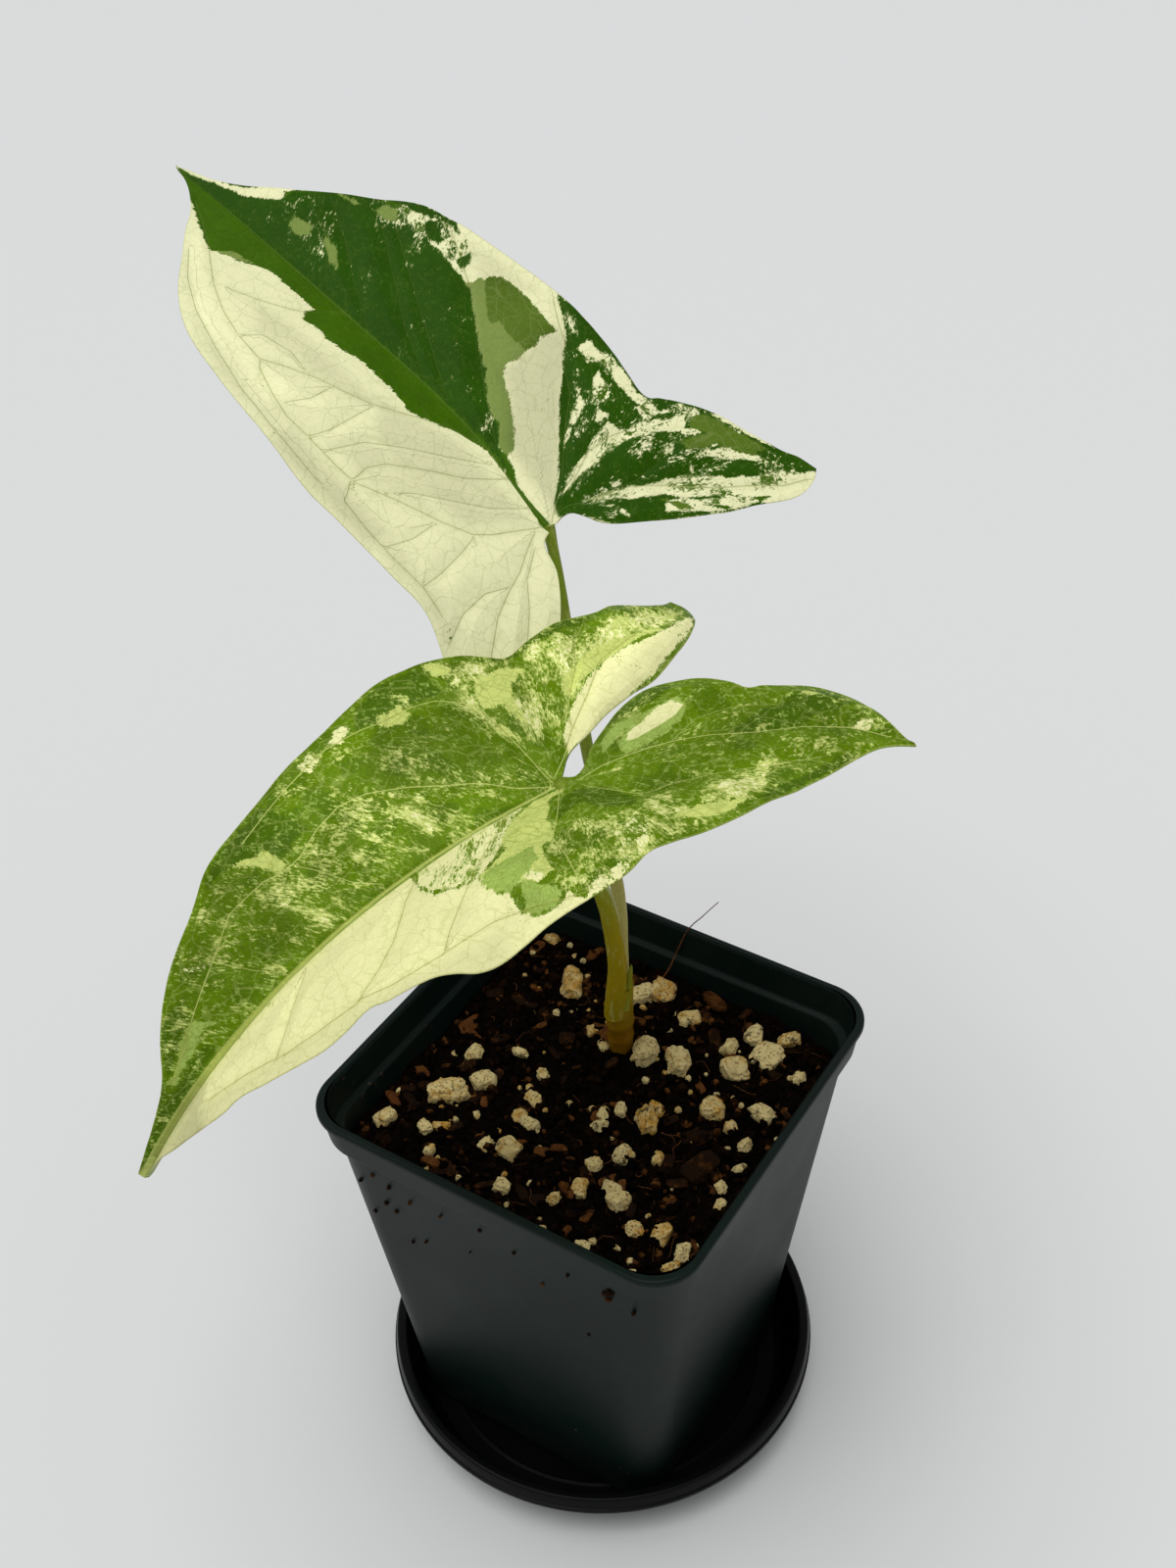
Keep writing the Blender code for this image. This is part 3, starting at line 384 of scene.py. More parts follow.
UPPER_LEAF = {
    "junction": (-0.0304, 0.0353, 0.2061),
    "turn": (-8.6, -31.3, 171.8),
    "droop": 1.9,
    "fold": (0.24, 0.21),
    "arch": (-0.9, -0.5),
    "twist": (-10.0, 0.7),
    "inner": (0.0, 0.10),
    "lobe_angle": (122.0, 116.0),
    "paint": {"Ragged": 0.50, "Mottle": 0.6, "Green Veins": 0.22, "Quilt": 0.30, "Heart": 0.035},
    "specular": 0.04,
    "apex": (114.0, 0.0),
    "notch": (-0.8, -0.6),
    "front": (
        ((108.4, 1.8), (104.1, 4.3), (99.9, 7.6), (95.1, 12.8), (88.9, 18.6), (82, 25.2),
         (74.8, 30.2), (67.2, 33.2), (55.2, 35.3), (41, 37), (30, 38.4), (24, 38.4),
         (17.2, 38), (7, 37.4)),
        ((109.8, -1.6), (105.4, -3.5), (100, -7.2), (94, -12.3), (86.5, -19.1),
         (78.2, -25.2), (72.5, -29.9), (65.2, -32.4), (55.5, -34.3), (45.4, -36),
         (35, -37.2), (22.6, -36.6), (10, -34.6)),
    ),
    "lobe": (
        ((-2, 36.6), (-10.7, 39.2), (-20, 42.4), (-29, 43.6)),
        ((6.8, -36.6), (3.5, -39.2), (-0.2, -41.8), (-4, -43.8), (-10, -45.9),
         (-17, -48.4), (-20.5, -50.2)),
    ),
    "lobe_tip": ((-36.5, 42.5), (-24.3, -51.2)),
    "inside": (
        ((-35, 37), (-29.5, 28), (-22.5, 18.8), (-16.3, 12.2), (-9.3, 6.5), (-2.9, 3.8)),
        ((-25.8, -49.2), (-26.6, -45.5), (-25.8, -41.5), (-22.5, -35.5), (-19.8, -29.4),
         (-14, -19.6), (-7.2, -9.9), (-3, -7.2), (-0.4, -5.3)),
    ),
    "lobe_vein": (
        ((-3, 8), (-9, 20), (-19, 32), (-29, 39)),
        ((-1, -9), (-5, -20), (-14, -33), (-22, -44)),
    ),
    "midrib": ((0, 0.3), (6, -0.2), (12, -0.8), (20, -1.9), (28, -2.2), (40, -2.1), (60, -1.0),
               (80, -0.3), (114, 0)),
    "veins": (
        (1.1, ((0.5, 2), (2, 6), (4, 12), (6, 16), (11, 19.5), (18, 23.5), (26, 28.7), (31, 29.3),
               (39, 29.3), (45, 29.6), (51, 28), (57, 25.8), (59, 24), (66, 23.5), (73, 21.5),
               (80, 18), (85, 14.5), (90, 11), (97, 7), (103, 4))),
        (0.8, ((12.5, -0.5), (17, 7.5), (21, 12), (27, 20), (28, 24), (27, 28.7))),
        (1.0, ((21, -2), (28, 1), (33, 5), (36, 8), (40, 11.5), (45, 14.5), (50, 17),
               (55, 20.5), (59, 24))),
        (0.7, ((62, -1), (64.5, 3), (65.5, 6), (68, 9), (72, 12.5), (77, 16))),
        (0.7, ((-4, 34), (2, 33.5), (10, 34.5), (17, 34.5), (24, 33.8), (25, 32), (27.5, 28.7))),
        (0.5, ((30, 35), (45, 34), (55, 32.5), (65, 30), (75, 26.5), (83, 22), (90, 16))),
        (0.5, ((2, 33.5), (2.5, 28), (4, 21), (5.5, 16))),
        (0.5, ((11.5, 22), (11, 28), (12, 34))),
        (0.5, ((39.5, 12), (39, 18), (38.5, 24), (39, 29.3))),
        (0.5, ((47, 16), (46.5, 22), (48, 28))),
        (0.4, ((5, 0.5), (9, 8), (14, 14), (19, 20), (22, 26))),
        (0.4, ((16, -1), (22, 6), (28, 13), (33, 20), (35, 29))),
        (0.4, ((52, 18), (58, 17), (64, 19), (66, 23.5))),
        (0.9, ((0, 4), (-2, 8), (-5, 13), (-7, 18), (-10, 24), (-15, 30), (-22, 36), (-30, 40))),
        (0.6, ((-3, 7), (-7, 13), (-12, 17), (-16, 21), (-22, 27))),
        (0.6, ((-6.5, 17), (-5, 23), (-6, 30), (-9, 36))),
        (0.7, ((33, -3), (45, -9), (55, -14), (70, -22))),
        (0.6, ((40, -3), (52, -8), (62, -14), (72, -20))),
        (0.6, ((56, -2), (66, -7), (76, -13), (84, -17))),
        (0.9, ((0, -1), (7, -10), (13, -16), (19, -23), (24, -26), (28, -30), (32, -32),
               (37, -35))),
        (0.8, ((20, -4), (30, -10), (40, -17), (50, -24), (62, -30))),
        (1.1, ((1, -3), (1, -6), (-1, -10), (-2, -14), (-4, -19), (-8, -24), (-15, -32),
               (-19, -38), (-23, -43), (-25, -48))),
        (0.6, ((3, -8), (7, -17), (7, -22), (5.5, -27))),
        (0.6, ((-2, -15), (-3.5, -20), (-3.5, -26), (-3, -30))),
        (0.5, ((-8, -24), (-9, -30), (-12, -38))),
    ),
    "base": CREAM,
    "patches": (
        (PALE, ((16, -3.5), (22, -4), (30, -6), (40, -12), (49, -19), (52, -23.5), (49.8, -27.5),
                (45, -26), (40, -24), (36, -24), (32, -24), (31, -20), (31.5, -17), (30, -14.8),
                (27, -13.2), (24, -11.6), (21, -9.5), (18, -7), (17, -6))),
        (GREEN, ((113, 0.5), (104, 4.5), (97, 8), (91, 11), (88.5, 12), (86, 10), (84, 9.5),
                 (81, 7), (78, 5), (74, 4.6), (65.5, 4.2), (65.8, 7), (64, 8.5), (60, 7.5),
                 (57, 8.2), (53, 7), (50, 5.8), (40, 5.3), (35, 5.8), (32, 4), (28, 1.5),
                 (24, -0.8), (18, -1.8), (10, -0.9), (14, -3.3), (20, -4.3), (23, -7.5),
                 (26, -7.6), (30, -10.5), (34, -13.5), (40, -17), (45, -20.5), (50, -24),
                 (60, -25), (66, -25.2), (70, -25), (74, -27), (72, -29.5), (76, -28),
                 (79, -25.5), (84, -21), (88, -19.5), (90, -16.5), (92, -13.5), (93, -12),
                 (91.5, -10), (93.5, -8), (92.5, -6.5), (98, -4), (103, -2.5), (108, -1),
                 (113, -0.3))),
        (GREEN, ((0, 1.6), (5, 0.5), (12, -0.6), (20, -1.6), (28, 1), (24, -2.2), (20, -3),
                 (12, -1.4), (5, -0.6), (0, -0.5))),
        (DARK, ((12, -1.4), (20, -2.4), (28, -2.6), (40, -2.4), (60, -1.2), (80, -0.5), (100, 0),
                (112, 0.5), (108, -1.6), (98, -5), (92, -9), (92, -13), (86, -19.5), (80, -24),
                (74, -26), (70, -25), (66, -25.2), (60, -25), (50, -24), (45, -20.5),
                (40, -17), (34, -13.5), (30, -10.5), (26, -7.6), (23, -7), (18, -3.4))),
        (PALE, ((81, -7.5), (82, -10), (87, -9), (86, -6.5), (83, -6))),
        (PALE, ((71, -7), (74, -9.5), (79, -10.5), (78, -9), (74, -7), (71, -6.3))),
        (PALE, ((72, -23.5), (74, -25.5), (77, -24.5), (77, -22), (74, -21.8))),
        (PALE, ((80, -21), (85, -20.3), (86, -19.3), (81, -19.8))),
        (PALE, ((84, 9), (88, 11.5), (86, 8), (81, 6.5))),
        (GREY, ((32, -22), (36, -22), (40, -23), (41, -21), (45, -23.5), (48, -26),
                (49.5, -28), (48, -30.5), (44, -31.3), (38, -31), (33, -30.5), (31, -31),
                (32, -27), (31, -24.5))),
        (DARK, ((54, -25), (57, -26), (56, -30), (54.5, -28))),
        (DARK, ((58, -25), (60, -27), (59, -29), (57.5, -27))),
        (DARK, ((62, -26), (66, -25), (68, -28), (66, -31), (62, -29.5))),
        (DARK, ((61, -31), (64, -32.5), (70, -31), (75, -28.5), (79, -25.5), (74, -27),
                (68, -29.5), (64, -31.3))),
        (DARK, ((97, -9), (100, -6.5), (104, -4), (100, -7.6))),
        (DARK, ((0, -3), (1.5, -3.5), (3, -4.5), (7, -9), (13, -14.5), (20, -21.5), (28, -30),
                (33, -34), (38, -36.5), (30, -38), (20, -37), (10, -35.5), (3, -40.5),
                (-5, -45), (-20, -51.5), (-26, -54), (-28, -45), (-20, -30), (-10, -12),
                (-1, -5.5))),
        (CREAM, ((3.2, -6.5), (5.2, -9.5), (6.3, -13.5), (7.2, -17.5), (8.8, -20),
                 (9.6, -24.5), (7.2, -25), (5.5, -27), (5.3, -31.5), (8.5, -32), (14, -31.5),
                 (20, -33), (24, -32.5), (20, -36), (14, -34.8), (10, -34), (5, -34.2),
                 (3.5, -36.5), (2, -39.5), (0.2, -40.8), (-1.5, -40.3), (0, -37.5),
                 (-1.5, -36), (-3, -38.5), (-4.5, -38), (-2.8, -35), (-0.5, -33),
                 (1.5, -30.5), (3.5, -26), (4.4, -22), (4.7, -19), (4, -16.5), (4.4, -13),
                 (3.8, -10))),
        (CREAM, ((13, -26.5), (15.5, -25.8), (18.5, -28.5), (19, -30.8), (15.5, -29.7))),
        (CREAM, ((21, -31), (25.5, -30.8), (26, -34.5), (22, -34), (20.5, -33.2))),
        (CREAM, ((13, -19), (16.5, -24), (18, -24.5), (14.5, -18.5))),
        (CREAM, ((11, -22), (12.5, -24.5), (10.5, -25.5), (10.3, -23))),
        (CREAM, ((15, -20), (17, -23.5), (15.5, -24), (13.7, -20.5))),
        (CREAM, ((10, -13.4), (12, -15), (14, -18.4), (12, -16.6))),
        (CREAM, ((0, -9), (-1.5, -13), (-3.5, -18.5), (-6.5, -22.5), (-7, -25.5),
                 (-9.5, -29.5), (-12.5, -33), (-15.5, -36.5), (-18, -40), (-20.5, -45),
                 (-23.5, -48.5), (-25, -51), (-27, -48), (-27.5, -44), (-26, -40),
                 (-22.5, -36), (-19.5, -30), (-16, -24.5), (-12.5, -20), (-11, -21.6),
                 (-12, -24.5), (-9, -22), (-8, -20), (-6.5, -17.5), (-4, -14.5),
                 (-1.8, -11))),
        (GREEN, ((-14.5, -27), (-17, -27.8), (-19.5, -30), (-21.5, -34), (-20, -32),
                 (-18, -29.3))),
        (DARK, ((-12.3, -25), (-13.5, -27), (-16.5, -30.8), (-17, -31), (-15, -27.5))),
        (GREEN, ((-18, -33), (-19.5, -34), (-21, -36.5), (-23, -39), (-22.3, -37))),
        (GREY, ((-15.5, -25.3), (-14, -23), (-11, -21.8), (-9.5, -21), (-12.5, -23.8))),
        (CREAM, ((-9, -13.8), (-7, -13), (-5.3, -13.2), (-6.5, -14))),
        (CREAM, ((-5, -13), (-2.2, -10.5), (-3, -10.8), (-4.8, -12.6))),
        (CREAM, ((-7.5, -9.8), (-4.5, -8), (-2.5, -7), (-4.5, -7.4))),
        (CREAM, ((-7, -32.3), (-9, -35.5), (-11.5, -38), (-14, -40.5), (-16, -43),
                 (-18.5, -44), (-15.5, -43.5), (-13, -42), (-11, -40.5), (-9, -38),
                 (-7, -35))),
        (CREAM, ((-3.5, -28), (-2, -29.5), (-2.2, -31.5), (-3, -31))),
        (CREAM, ((-10.5, -30), (-8.5, -31), (-7.5, -31.5), (-9, -30.4))),
        (GREY, ((-7, -36), (-5, -32.5), (-3, -33), (-4.5, -38), (-2, -36.5), (-0.2, -38),
                 (-0.8, -40.2), (-2.5, -41.8), (-10, -44.5), (-15, -46), (-14, -43),
                 (-11, -41), (-8, -38.5))),
        (GREY, ((-15, -43), (-11, -40), (-8, -38), (-10, -41), (-14, -44))),
        (CREAM, ((-2, -42), (-10, -45), (-16, -47.6), (-10, -46.8), (-4, -45))),
        (DARK, ((8, -35), (10.5, -33.6), (14, -34.6), (16, -35.2), (25, -35), (28, -35.7),
                (37, -36.8), (30, -38), (15, -37.2))),
        (DARK, ((1, -39.8), (0.3, -38.2), (1.8, -37.5), (2.4, -34.5), (4.6, -30.5),
                (4.9, -32), (3.2, -35.5), (2.4, -39))),
    ),
    "fleck_base": 0.02,
    "flecks": (
        (0.18, ((20, -3), (95, -2), (90, -14), (66, -25), (50, -24), (34, -13))),
        (0.30, ((72, -5), (92, -5), (90, -18), (74, -16))),
        (0.34, ((20, -4), (30, -5), (32, -9), (26, -8))),
        (0.30, ((31, -15), (50, -25), (48, -31), (31, -31))),
        (0.42, ((53, -24.5), (80, -20), (80, -26), (66, -32), (54, -31))),
        (0.43, ((0, -5), (8, -12), (22, -25), (36, -36), (10, -36), (-4, -44), (-26, -51),
                (-20, -38), (-10, -24))),
        (0.34, ((-5, -8), (-15, -20), (-22, -36), (-20, -40), (-8, -24), (-3, -12))),
    ),
    # Painted light and shade, partly the tissue's own lightness: a factor on the colour in each
    # outline.
    "light_and_shade": (
        (0.74, ((1, -3), (18, -5), (24, -11), (31, -15), (33, -31), (28, -31), (20, -22),
                (8, -10))),
        (0.84, ((3, 3), (24, 2), (40, 9), (34, 16), (20, 18), (8, 16))),
        (0.88, ((14, 20), (26, 16), (34, 20), (36, 27), (24, 26))),
        (0.86, ((38, 10), (62, 12), (72, 14), (66, 19), (52, 17), (42, 14))),
        (0.90, ((-14, 38), (4, 36), (30, 37), (60, 34), (74, 28), (60, 31), (30, 33), (0, 31),
                (-10, 32))),
        (0.86, ((14, 31), (42, 31), (42, 38), (14, 38))),
        (1.12, ((44, 22), (58, 25), (80, 18), (98, 7), (90, 16), (74, 27), (50, 30))),
        (0.86, ((48, -33), (60, -31), (50, -26), (40, -34))),
    ),
}

# The larger pumice grains: X, Y and width in millimetres.
GRAINS_MM = (
    (-22, 25, 5.8), (-7, 30, 4.9), (-3, 34, 5.1), (6, 30, 4.4), (4, 14, 5.6), (11, 16, 5.8),
    (22, 22, 6.0), (18, 27, 3.5), (21, 33, 3.9), (26, 29, 5.8), (28, 36, 4.3),
    (-28, -16, 7.0), (-23, -9, 4.7), (-30, -3, 3.9), (-21, 2, 3.0), (-13, -1, 3.0),
    (-11, -8, 3.4), (-11, -13, 3.3), (-8, -14, 3.3), (-8, -22, 5.7), (-13, -23, 2.9),
    (-27, -26, 2.9), (-24, -24, 2.9), (-22, -31, 2.9), (-36, -28, 3.8), (-10, 14, 2.6),
    (-5, 11, 2.2), (-35, 37, 3.2), (13, -1, 5.0), (13, 3, 3.3), (7, -1, 2.9), (4, -4, 2.9),
    (5, -7, 2.9), (23, 9, 5.2), (29, 7, 3.7), (33, 14, 4.6), (35, 27, 3.2), (34, 4, 2.9),
    (13, -11, 3.3), (20, -8, 2.8), (9, -16, 3.2), (-4, -31, 3.2), (10, -23, 3.6),
    (16, -20, 3.6), (19, -22, 4.4), (7, -28, 3.2), (35, -8, 3.2), (36, -2, 2.8),
    (37, -12, 2.4), (25, -26, 3.9), (30, -24, 4.3), (36, -26, 3.5), (30, -36, 3.1),
    (36, -31, 3.1), (18, -35, 2.7),
)
# A thin root that leaves the mix over the pot's back wall.
RIM_ROOT = (
    (-0.0060, 0.0350, 0.0912), (-0.0045, 0.0385, 0.0945), (-0.0035, 0.0415, 0.0995),
    (-0.0025, 0.0432, 0.1035), (-0.0014, 0.0446, 0.1056), (-0.0003, 0.0462, 0.1068),
    (0.0008, 0.0480, 0.1082), (0.0022, 0.0496, 0.1100),
)
# Crumbs on the pot's front face: X, level and width in millimetres.
CLINGING_MM = (
    (29, 91.5, 2.0), (27.5, 90.2, 1.2), (28.4, 89, 1.4), (-29, 90.5, 1.0), (-25, 89, 0.9),
    (-20, 87, 1.0), (-27, 82, 1.4), (-24.5, 80.5, 0.9), (-12, 88, 0.8), (-31, 76, 0.9),
    (-18, 74, 0.8), (-22, 71, 0.9), (6, 88, 0.8), (12, 81, 0.8), (-6, 79, 0.6),
    (19, 90, 0.9), (34, 88, 0.9), (-33, 86, 0.9), (-2, 90, 0.9), (22, 70, 0.8),
)
# The larger chips of bark: X, Y and length in millimetres.
LARGE_BARK_MM = (
    (29, -6, 9.5), (24, 2, 6.5), (8, 38, 6.5), (16, 38, 4.5), (-36, 4, 6.5), (-17, -32, 5.0),
    (-14, 5, 4.0), (27, -12, 5.0), (-37, -13, 4.5), (15, -28, 4.5), (-27, 3, 4.0), (-36, 14, 4.5),
)


# Properties that a user would change.
def colour(name, description, default):
    return bpy.props.FloatVectorProperty(
        name=name, description=description, default=default, size=3, min=0, max=1,
        subtype="COLOR",
    )


def length(name, description, default):
    return bpy.props.FloatProperty(
        name=name, description=description, default=default, min=0, precision=5,
        subtype="DISTANCE", unit="LENGTH",
    )


def amount(name, description, default):
    return bpy.props.IntProperty(name=name, description=description, default=default, min=0)


class BladeForm:
    """Sizes that both blades share."""

    thickness: length("Thickness", "Thickness of the blade away from its margin", 0.00050)
    rim_thickness: length("Rim thickness", "Thickness at the margin", 0.00028)
    wave: length("Wave", "Height of the margin's small waves", 0.00032)


class LowerLeafLook(BladeForm, bpy.types.PropertyGroup):
    pillow: length("Pillow", "How far the blade rises between its veins", 0.00085)
    groove: length("Groove", "Depth of the groove over a vein", 0.00022)
    cream: colour("Cream", "Tissue without green", (0.81, 0.80, 0.40))
    pale: colour("Pale", "Pale yellow-green tissue", (0.56, 0.63, 0.17))
    grey: colour("Grey green", "Thin green over pale tissue", (0.31, 0.43, 0.085))
    green: colour("Green", "Common green", (0.102, 0.184, 0.001))
    dark: colour("Dark green", "Deepest green", (0.058, 0.118, 0.001))
    vein: colour("Vein", "Colour over the veins", (0.40, 0.42, 0.09))
    under: colour("Underside", "Colour of the underside's bloom", (0.42, 0.50, 0.24))


class UpperLeafLook(BladeForm, bpy.types.PropertyGroup):
    pillow: length("Pillow", "How far the blade rises between its veins", 0.00048)
    groove: length("Groove", "Depth of the groove over a vein", 0.00010)
    cream: colour("Cream", "Tissue without green", (0.83, 0.825, 0.49))
    pale: colour("Pale", "Pale yellow-green tissue", (0.200, 0.275, 0.060))
    grey: colour("Grey green", "Thin green over pale tissue", (0.090, 0.155, 0.012))
    green: colour("Green", "Common green", (0.042, 0.112, 0.000))
    dark: colour("Dark green", "Deepest green", (0.019, 0.070, 0.000))
    vein: colour("Vein", "Colour over the veins", (0.42, 0.46, 0.17))
    under: colour("Underside", "Colour of the underside's bloom", (0.42, 0.50, 0.24))


class StalkLook(bpy.types.PropertyGroup):
    olive: colour("Olive", "Skin of the crown and the stalks' feet", (0.320, 0.235, 0.006))
    upper_foot: colour("Upper foot", "Skin low on the upper stalk", (0.44, 0.38, 0.12))
    green: colour("Green", "Skin of the stalks near the leaves", (0.17, 0.24, 0.015))
    streak: colour("Streak", "Pale streaks along the stalks", (0.52, 0.48, 0.16))
    brown: colour("Brown", "Skin at the mix", (0.215, 0.100, 0.002))


class PotLook(bpy.types.PropertyGroup):
    charcoal: colour("Charcoal", "Plastic of the pot", (0.0030, 0.0090, 0.0068))
    black: colour("Black", "Plastic of the saucer", (0.0015, 0.0017, 0.0019))
    dust: colour("Dust", "Dust and mix that cling to the plastic", (0.055, 0.036, 0.028))


class MixLook(bpy.types.PropertyGroup):
    dark: colour("Dark", "Wet mix in the hollows", (0.0016, 0.0008, 0.0003))
    brown: colour("Brown", "Drier mix on the lumps", (0.012, 0.0046, 0.0014))
    bark: colour("Bark", "Chips of bark", (0.125, 0.046, 0.011))
    fibre: colour("Fibre", "Roots and coir", (0.095, 0.032, 0.008))
    pumice: colour("Pumice", "Clean pumice", (0.70, 0.56, 0.26))
    stain: colour("Stain", "Stains on the pumice", (0.50, 0.26, 0.040))
    crumb_count: amount("Crumbs", "Number of loose crumbs", 2600)
    grit_count: amount("Grit", "Number of small pumice grains", 120)
    bark_count: amount("Bark chips", "Number of bark chips", 130)
    fibre_count: amount("Fibres", "Number of loose fibres", 70)


class StageLook(bpy.types.PropertyGroup):
    floor: colour("Floor", "The floor", (0.67, 0.675, 0.675))
    sky: colour("Sky", "Light from all round", (0.98, 0.99, 1.0))
    sky_strength: bpy.props.FloatProperty(
        name="Sky strength", description="Strength of the light from all round", default=0.50,
        min=0,
    )
    lamp_strength: bpy.props.FloatProperty(
        name="Lamp strength", description="Strength of the soft lamp overhead", default=1.85,
        min=0,
    )


# Shapes: arrays of points worked out whole, and the faces over them.
def bell(value, width):
    """A bump of height 1 round zero that falls to 1/e at the width."""
    return np.exp(-((value / width) ** 2))


def smooth_curve(points, count):
    """A Catmull-Rom curve through the points, at equal steps along its length."""
    knots = np.asarray(points, float)
    knots = np.concatenate([[2 * knots[0] - knots[1]], knots, [2 * knots[-1] - knots[-2]]])
    part = np.linspace(0.0, 1.0, 16, endpoint=False)[:, None]
    a, b, c, d = (knots[i : len(knots) - 3 + i, None] for i in range(4))
    fine = 0.5 * (
        2 * b + (c - a) * part + (2 * a - 5 * b + 4 * c - d) * part**2
        + (3 * b - a - 3 * c + d) * part**3
    )
    return even_steps(np.concatenate([fine.reshape(-1, knots.shape[1]), knots[-2:-1]]), count)


def even_steps(curve, count):
    """The same curve at equal steps along its length."""
    run = np.concatenate([[0.0], np.cumsum(np.linalg.norm(np.diff(curve, axis=0), axis=1))])
    at = np.linspace(0.0, run[-1], count)
    return np.stack([np.interp(at, run, curve[:, axis]) for axis in range(curve.shape[1])], 1)


def lattice(cells, seed):
    """A repeatable number from 0 to 1 for each whole-number cell, by mixing its digits."""
    mixed = (cells * np.array([73856093, 19349663, 83492791])).sum(-1) + seed * 144665
    mixed = (mixed ^ (mixed >> 13)) * 1274126177
    mixed = mixed ^ (mixed >> 16)
    return (mixed & 0xFFFFFF) / 0xFFFFFF


def value_noise(points, size, seed):
    """Smooth noise from -1 to 1: each point mixes the numbers of its cell's eight corners."""
    scaled = np.asarray(points, float) / size
    cell = np.floor(scaled).astype(np.int64)
    part = scaled - cell
    part = part * part * (3 - 2 * part)
    total = np.zeros(len(scaled))
    for corner in np.ndindex(2, 2, 2):
        near = np.where(np.array(corner) == 1, part, 1 - part).prod(-1)
        total += near * lattice(cell + np.array(corner), seed)
    return total * 2 - 1


def fractal(points, size, octaves, seed, rough=0.5):
    """Octaves of value noise, each half the size of the one before and weaker by rough."""
    layers = [
        rough**level * value_noise(points, size / 2**level, seed + level)
        for level in range(octaves)
    ]
    return sum(layers) / sum(rough**level for level in range(octaves))


def grid_faces(index):
    """Quads over a grid of vertex numbers."""
    corners = index[:-1, :-1], index[1:, :-1], index[1:, 1:], index[:-1, 1:]
    return np.stack(corners, -1).reshape(-1, 4)


def strip_faces(index):
    """Quads over a grid of vertex numbers whose two ends join."""
    return grid_faces(np.concatenate([index, index[:1]]))


def skin(rings):
    """Points and faces of a closed skin over rings of equal count, with a fan at each end."""
    rings = np.asarray(rings, float)
    count, sides = rings.shape[:2]
    points = np.concatenate([rings.reshape(-1, 3), [rings[0].mean(0)], [rings[-1].mean(0)]])
    index = np.arange(count * sides).reshape(count, sides)
    quads = strip_faces(index.T)
    after = np.roll(index, -1, axis=1)
    ends = np.full(sides, count * sides)
    start = np.stack([ends, after[0], index[0]], -1)
    finish = np.stack([ends + 1, index[-1], after[-1]], -1)
    return points, quads[:, ::-1].tolist() + start.tolist() + finish.tolist()


def rounded(profile, steps=7):
    """A profile whose corners become arcs: each corner is (x, y, radius)."""
    corners = np.asarray(profile, float)
    out = [corners[0, :2]]
    for before, here, after in zip(corners, corners[1:], corners[2:]):
        to_last = before[:2] - here[:2]
        to_next = after[:2] - here[:2]
        reach = min(np.linalg.norm(to_last), np.linalg.norm(to_next)) * 0.48
        to_last = to_last / np.linalg.norm(to_last)
        to_next = to_next / np.linalg.norm(to_next)
        half = 0.5 * math.acos(np.clip(to_last @ to_next, -0.9999, 0.9999))
        trim = min(here[2] / math.tan(half), reach)
        part = np.linspace(0, 1, steps)[:, None]
        start, end = here[:2] + to_last * trim, here[:2] + to_next * trim
        out.extend(start * (1 - part) ** 2 + 2 * here[:2] * part * (1 - part) + end * part**2)
    out.append(corners[-1, :2])
    return np.array(out)


def turned(profile, sides):
    """Rings of a turned shape: each profile point is a radius and a height."""
    turn = np.arange(sides) * 2 * math.pi / sides
    radius, height = profile[:, :1], profile[:, 1:2]
    flat = [radius * np.cos(turn), radius * np.sin(turn), height + 0 * turn]
    return np.stack(flat, -1)


def round_square(half, corner, height, steps=14, straight=14):
    """A square of the given half width with arcs at its corners and points along its sides."""
    arc = np.linspace(0.0, math.pi / 2, steps + 1)
    reach = half - corner
    bent = np.stack([reach + corner * np.cos(arc), reach + corner * np.sin(arc)], -1)
    ease = np.linspace(-1, 1, straight + 1)[1:-1]
    ease = np.sign(ease) * np.abs(ease) ** 0.6
    side = np.stack([-ease * reach, np.full(len(ease), half)], -1)
    quarter = np.concatenate([bent, side])
    turns = [quarter]
    for _ in range(3):
        last = turns[-1]
        turns.append(np.stack([-last[:, 1], last[:, 0]], -1))
    flat = np.concatenate(turns)
    return np.column_stack([flat, np.full(len(flat), height)])


def tube(path, radii, sides):
    """Rings of a tube: a circle carried along a path without twist, of the given radii."""
    path = np.asarray(path, float)
    forward = np.gradient(path, axis=0)
    forward /= np.linalg.norm(forward, axis=1)[:, None]
    side = np.array([1.0, 0.0, 0.0])
    turn = np.arange(sides)[:, None] * 2 * math.pi / sides
    rings = []
    for number, (centre, ahead) in enumerate(zip(path, forward)):
        side = side - ahead * side.dot(ahead)
        side /= np.linalg.norm(side)
        other = np.cross(ahead, side)
        rings.append(centre + radii[number] * (np.cos(turn) * side + np.sin(turn) * other))
    return np.array(rings)


def unit_ball(detail):
    """Points and triangles of a ball of radius 1 made of even triangles."""
    shape = bmesh.new()
    bmesh.ops.create_icosphere(shape, subdivisions=detail, radius=1.0)
    mesh = bpy.data.meshes.new("ball")
    shape.to_mesh(mesh)
    shape.free()
    points = np.empty(len(mesh.vertices) * 3)
    mesh.vertices.foreach_get("co", points)
    faces = np.empty(len(mesh.polygons) * 3, np.int32)
    mesh.polygons.foreach_get("vertices", faces)
    bpy.data.meshes.remove(mesh)
    return points.reshape(-1, 3), faces.reshape(-1, 3)


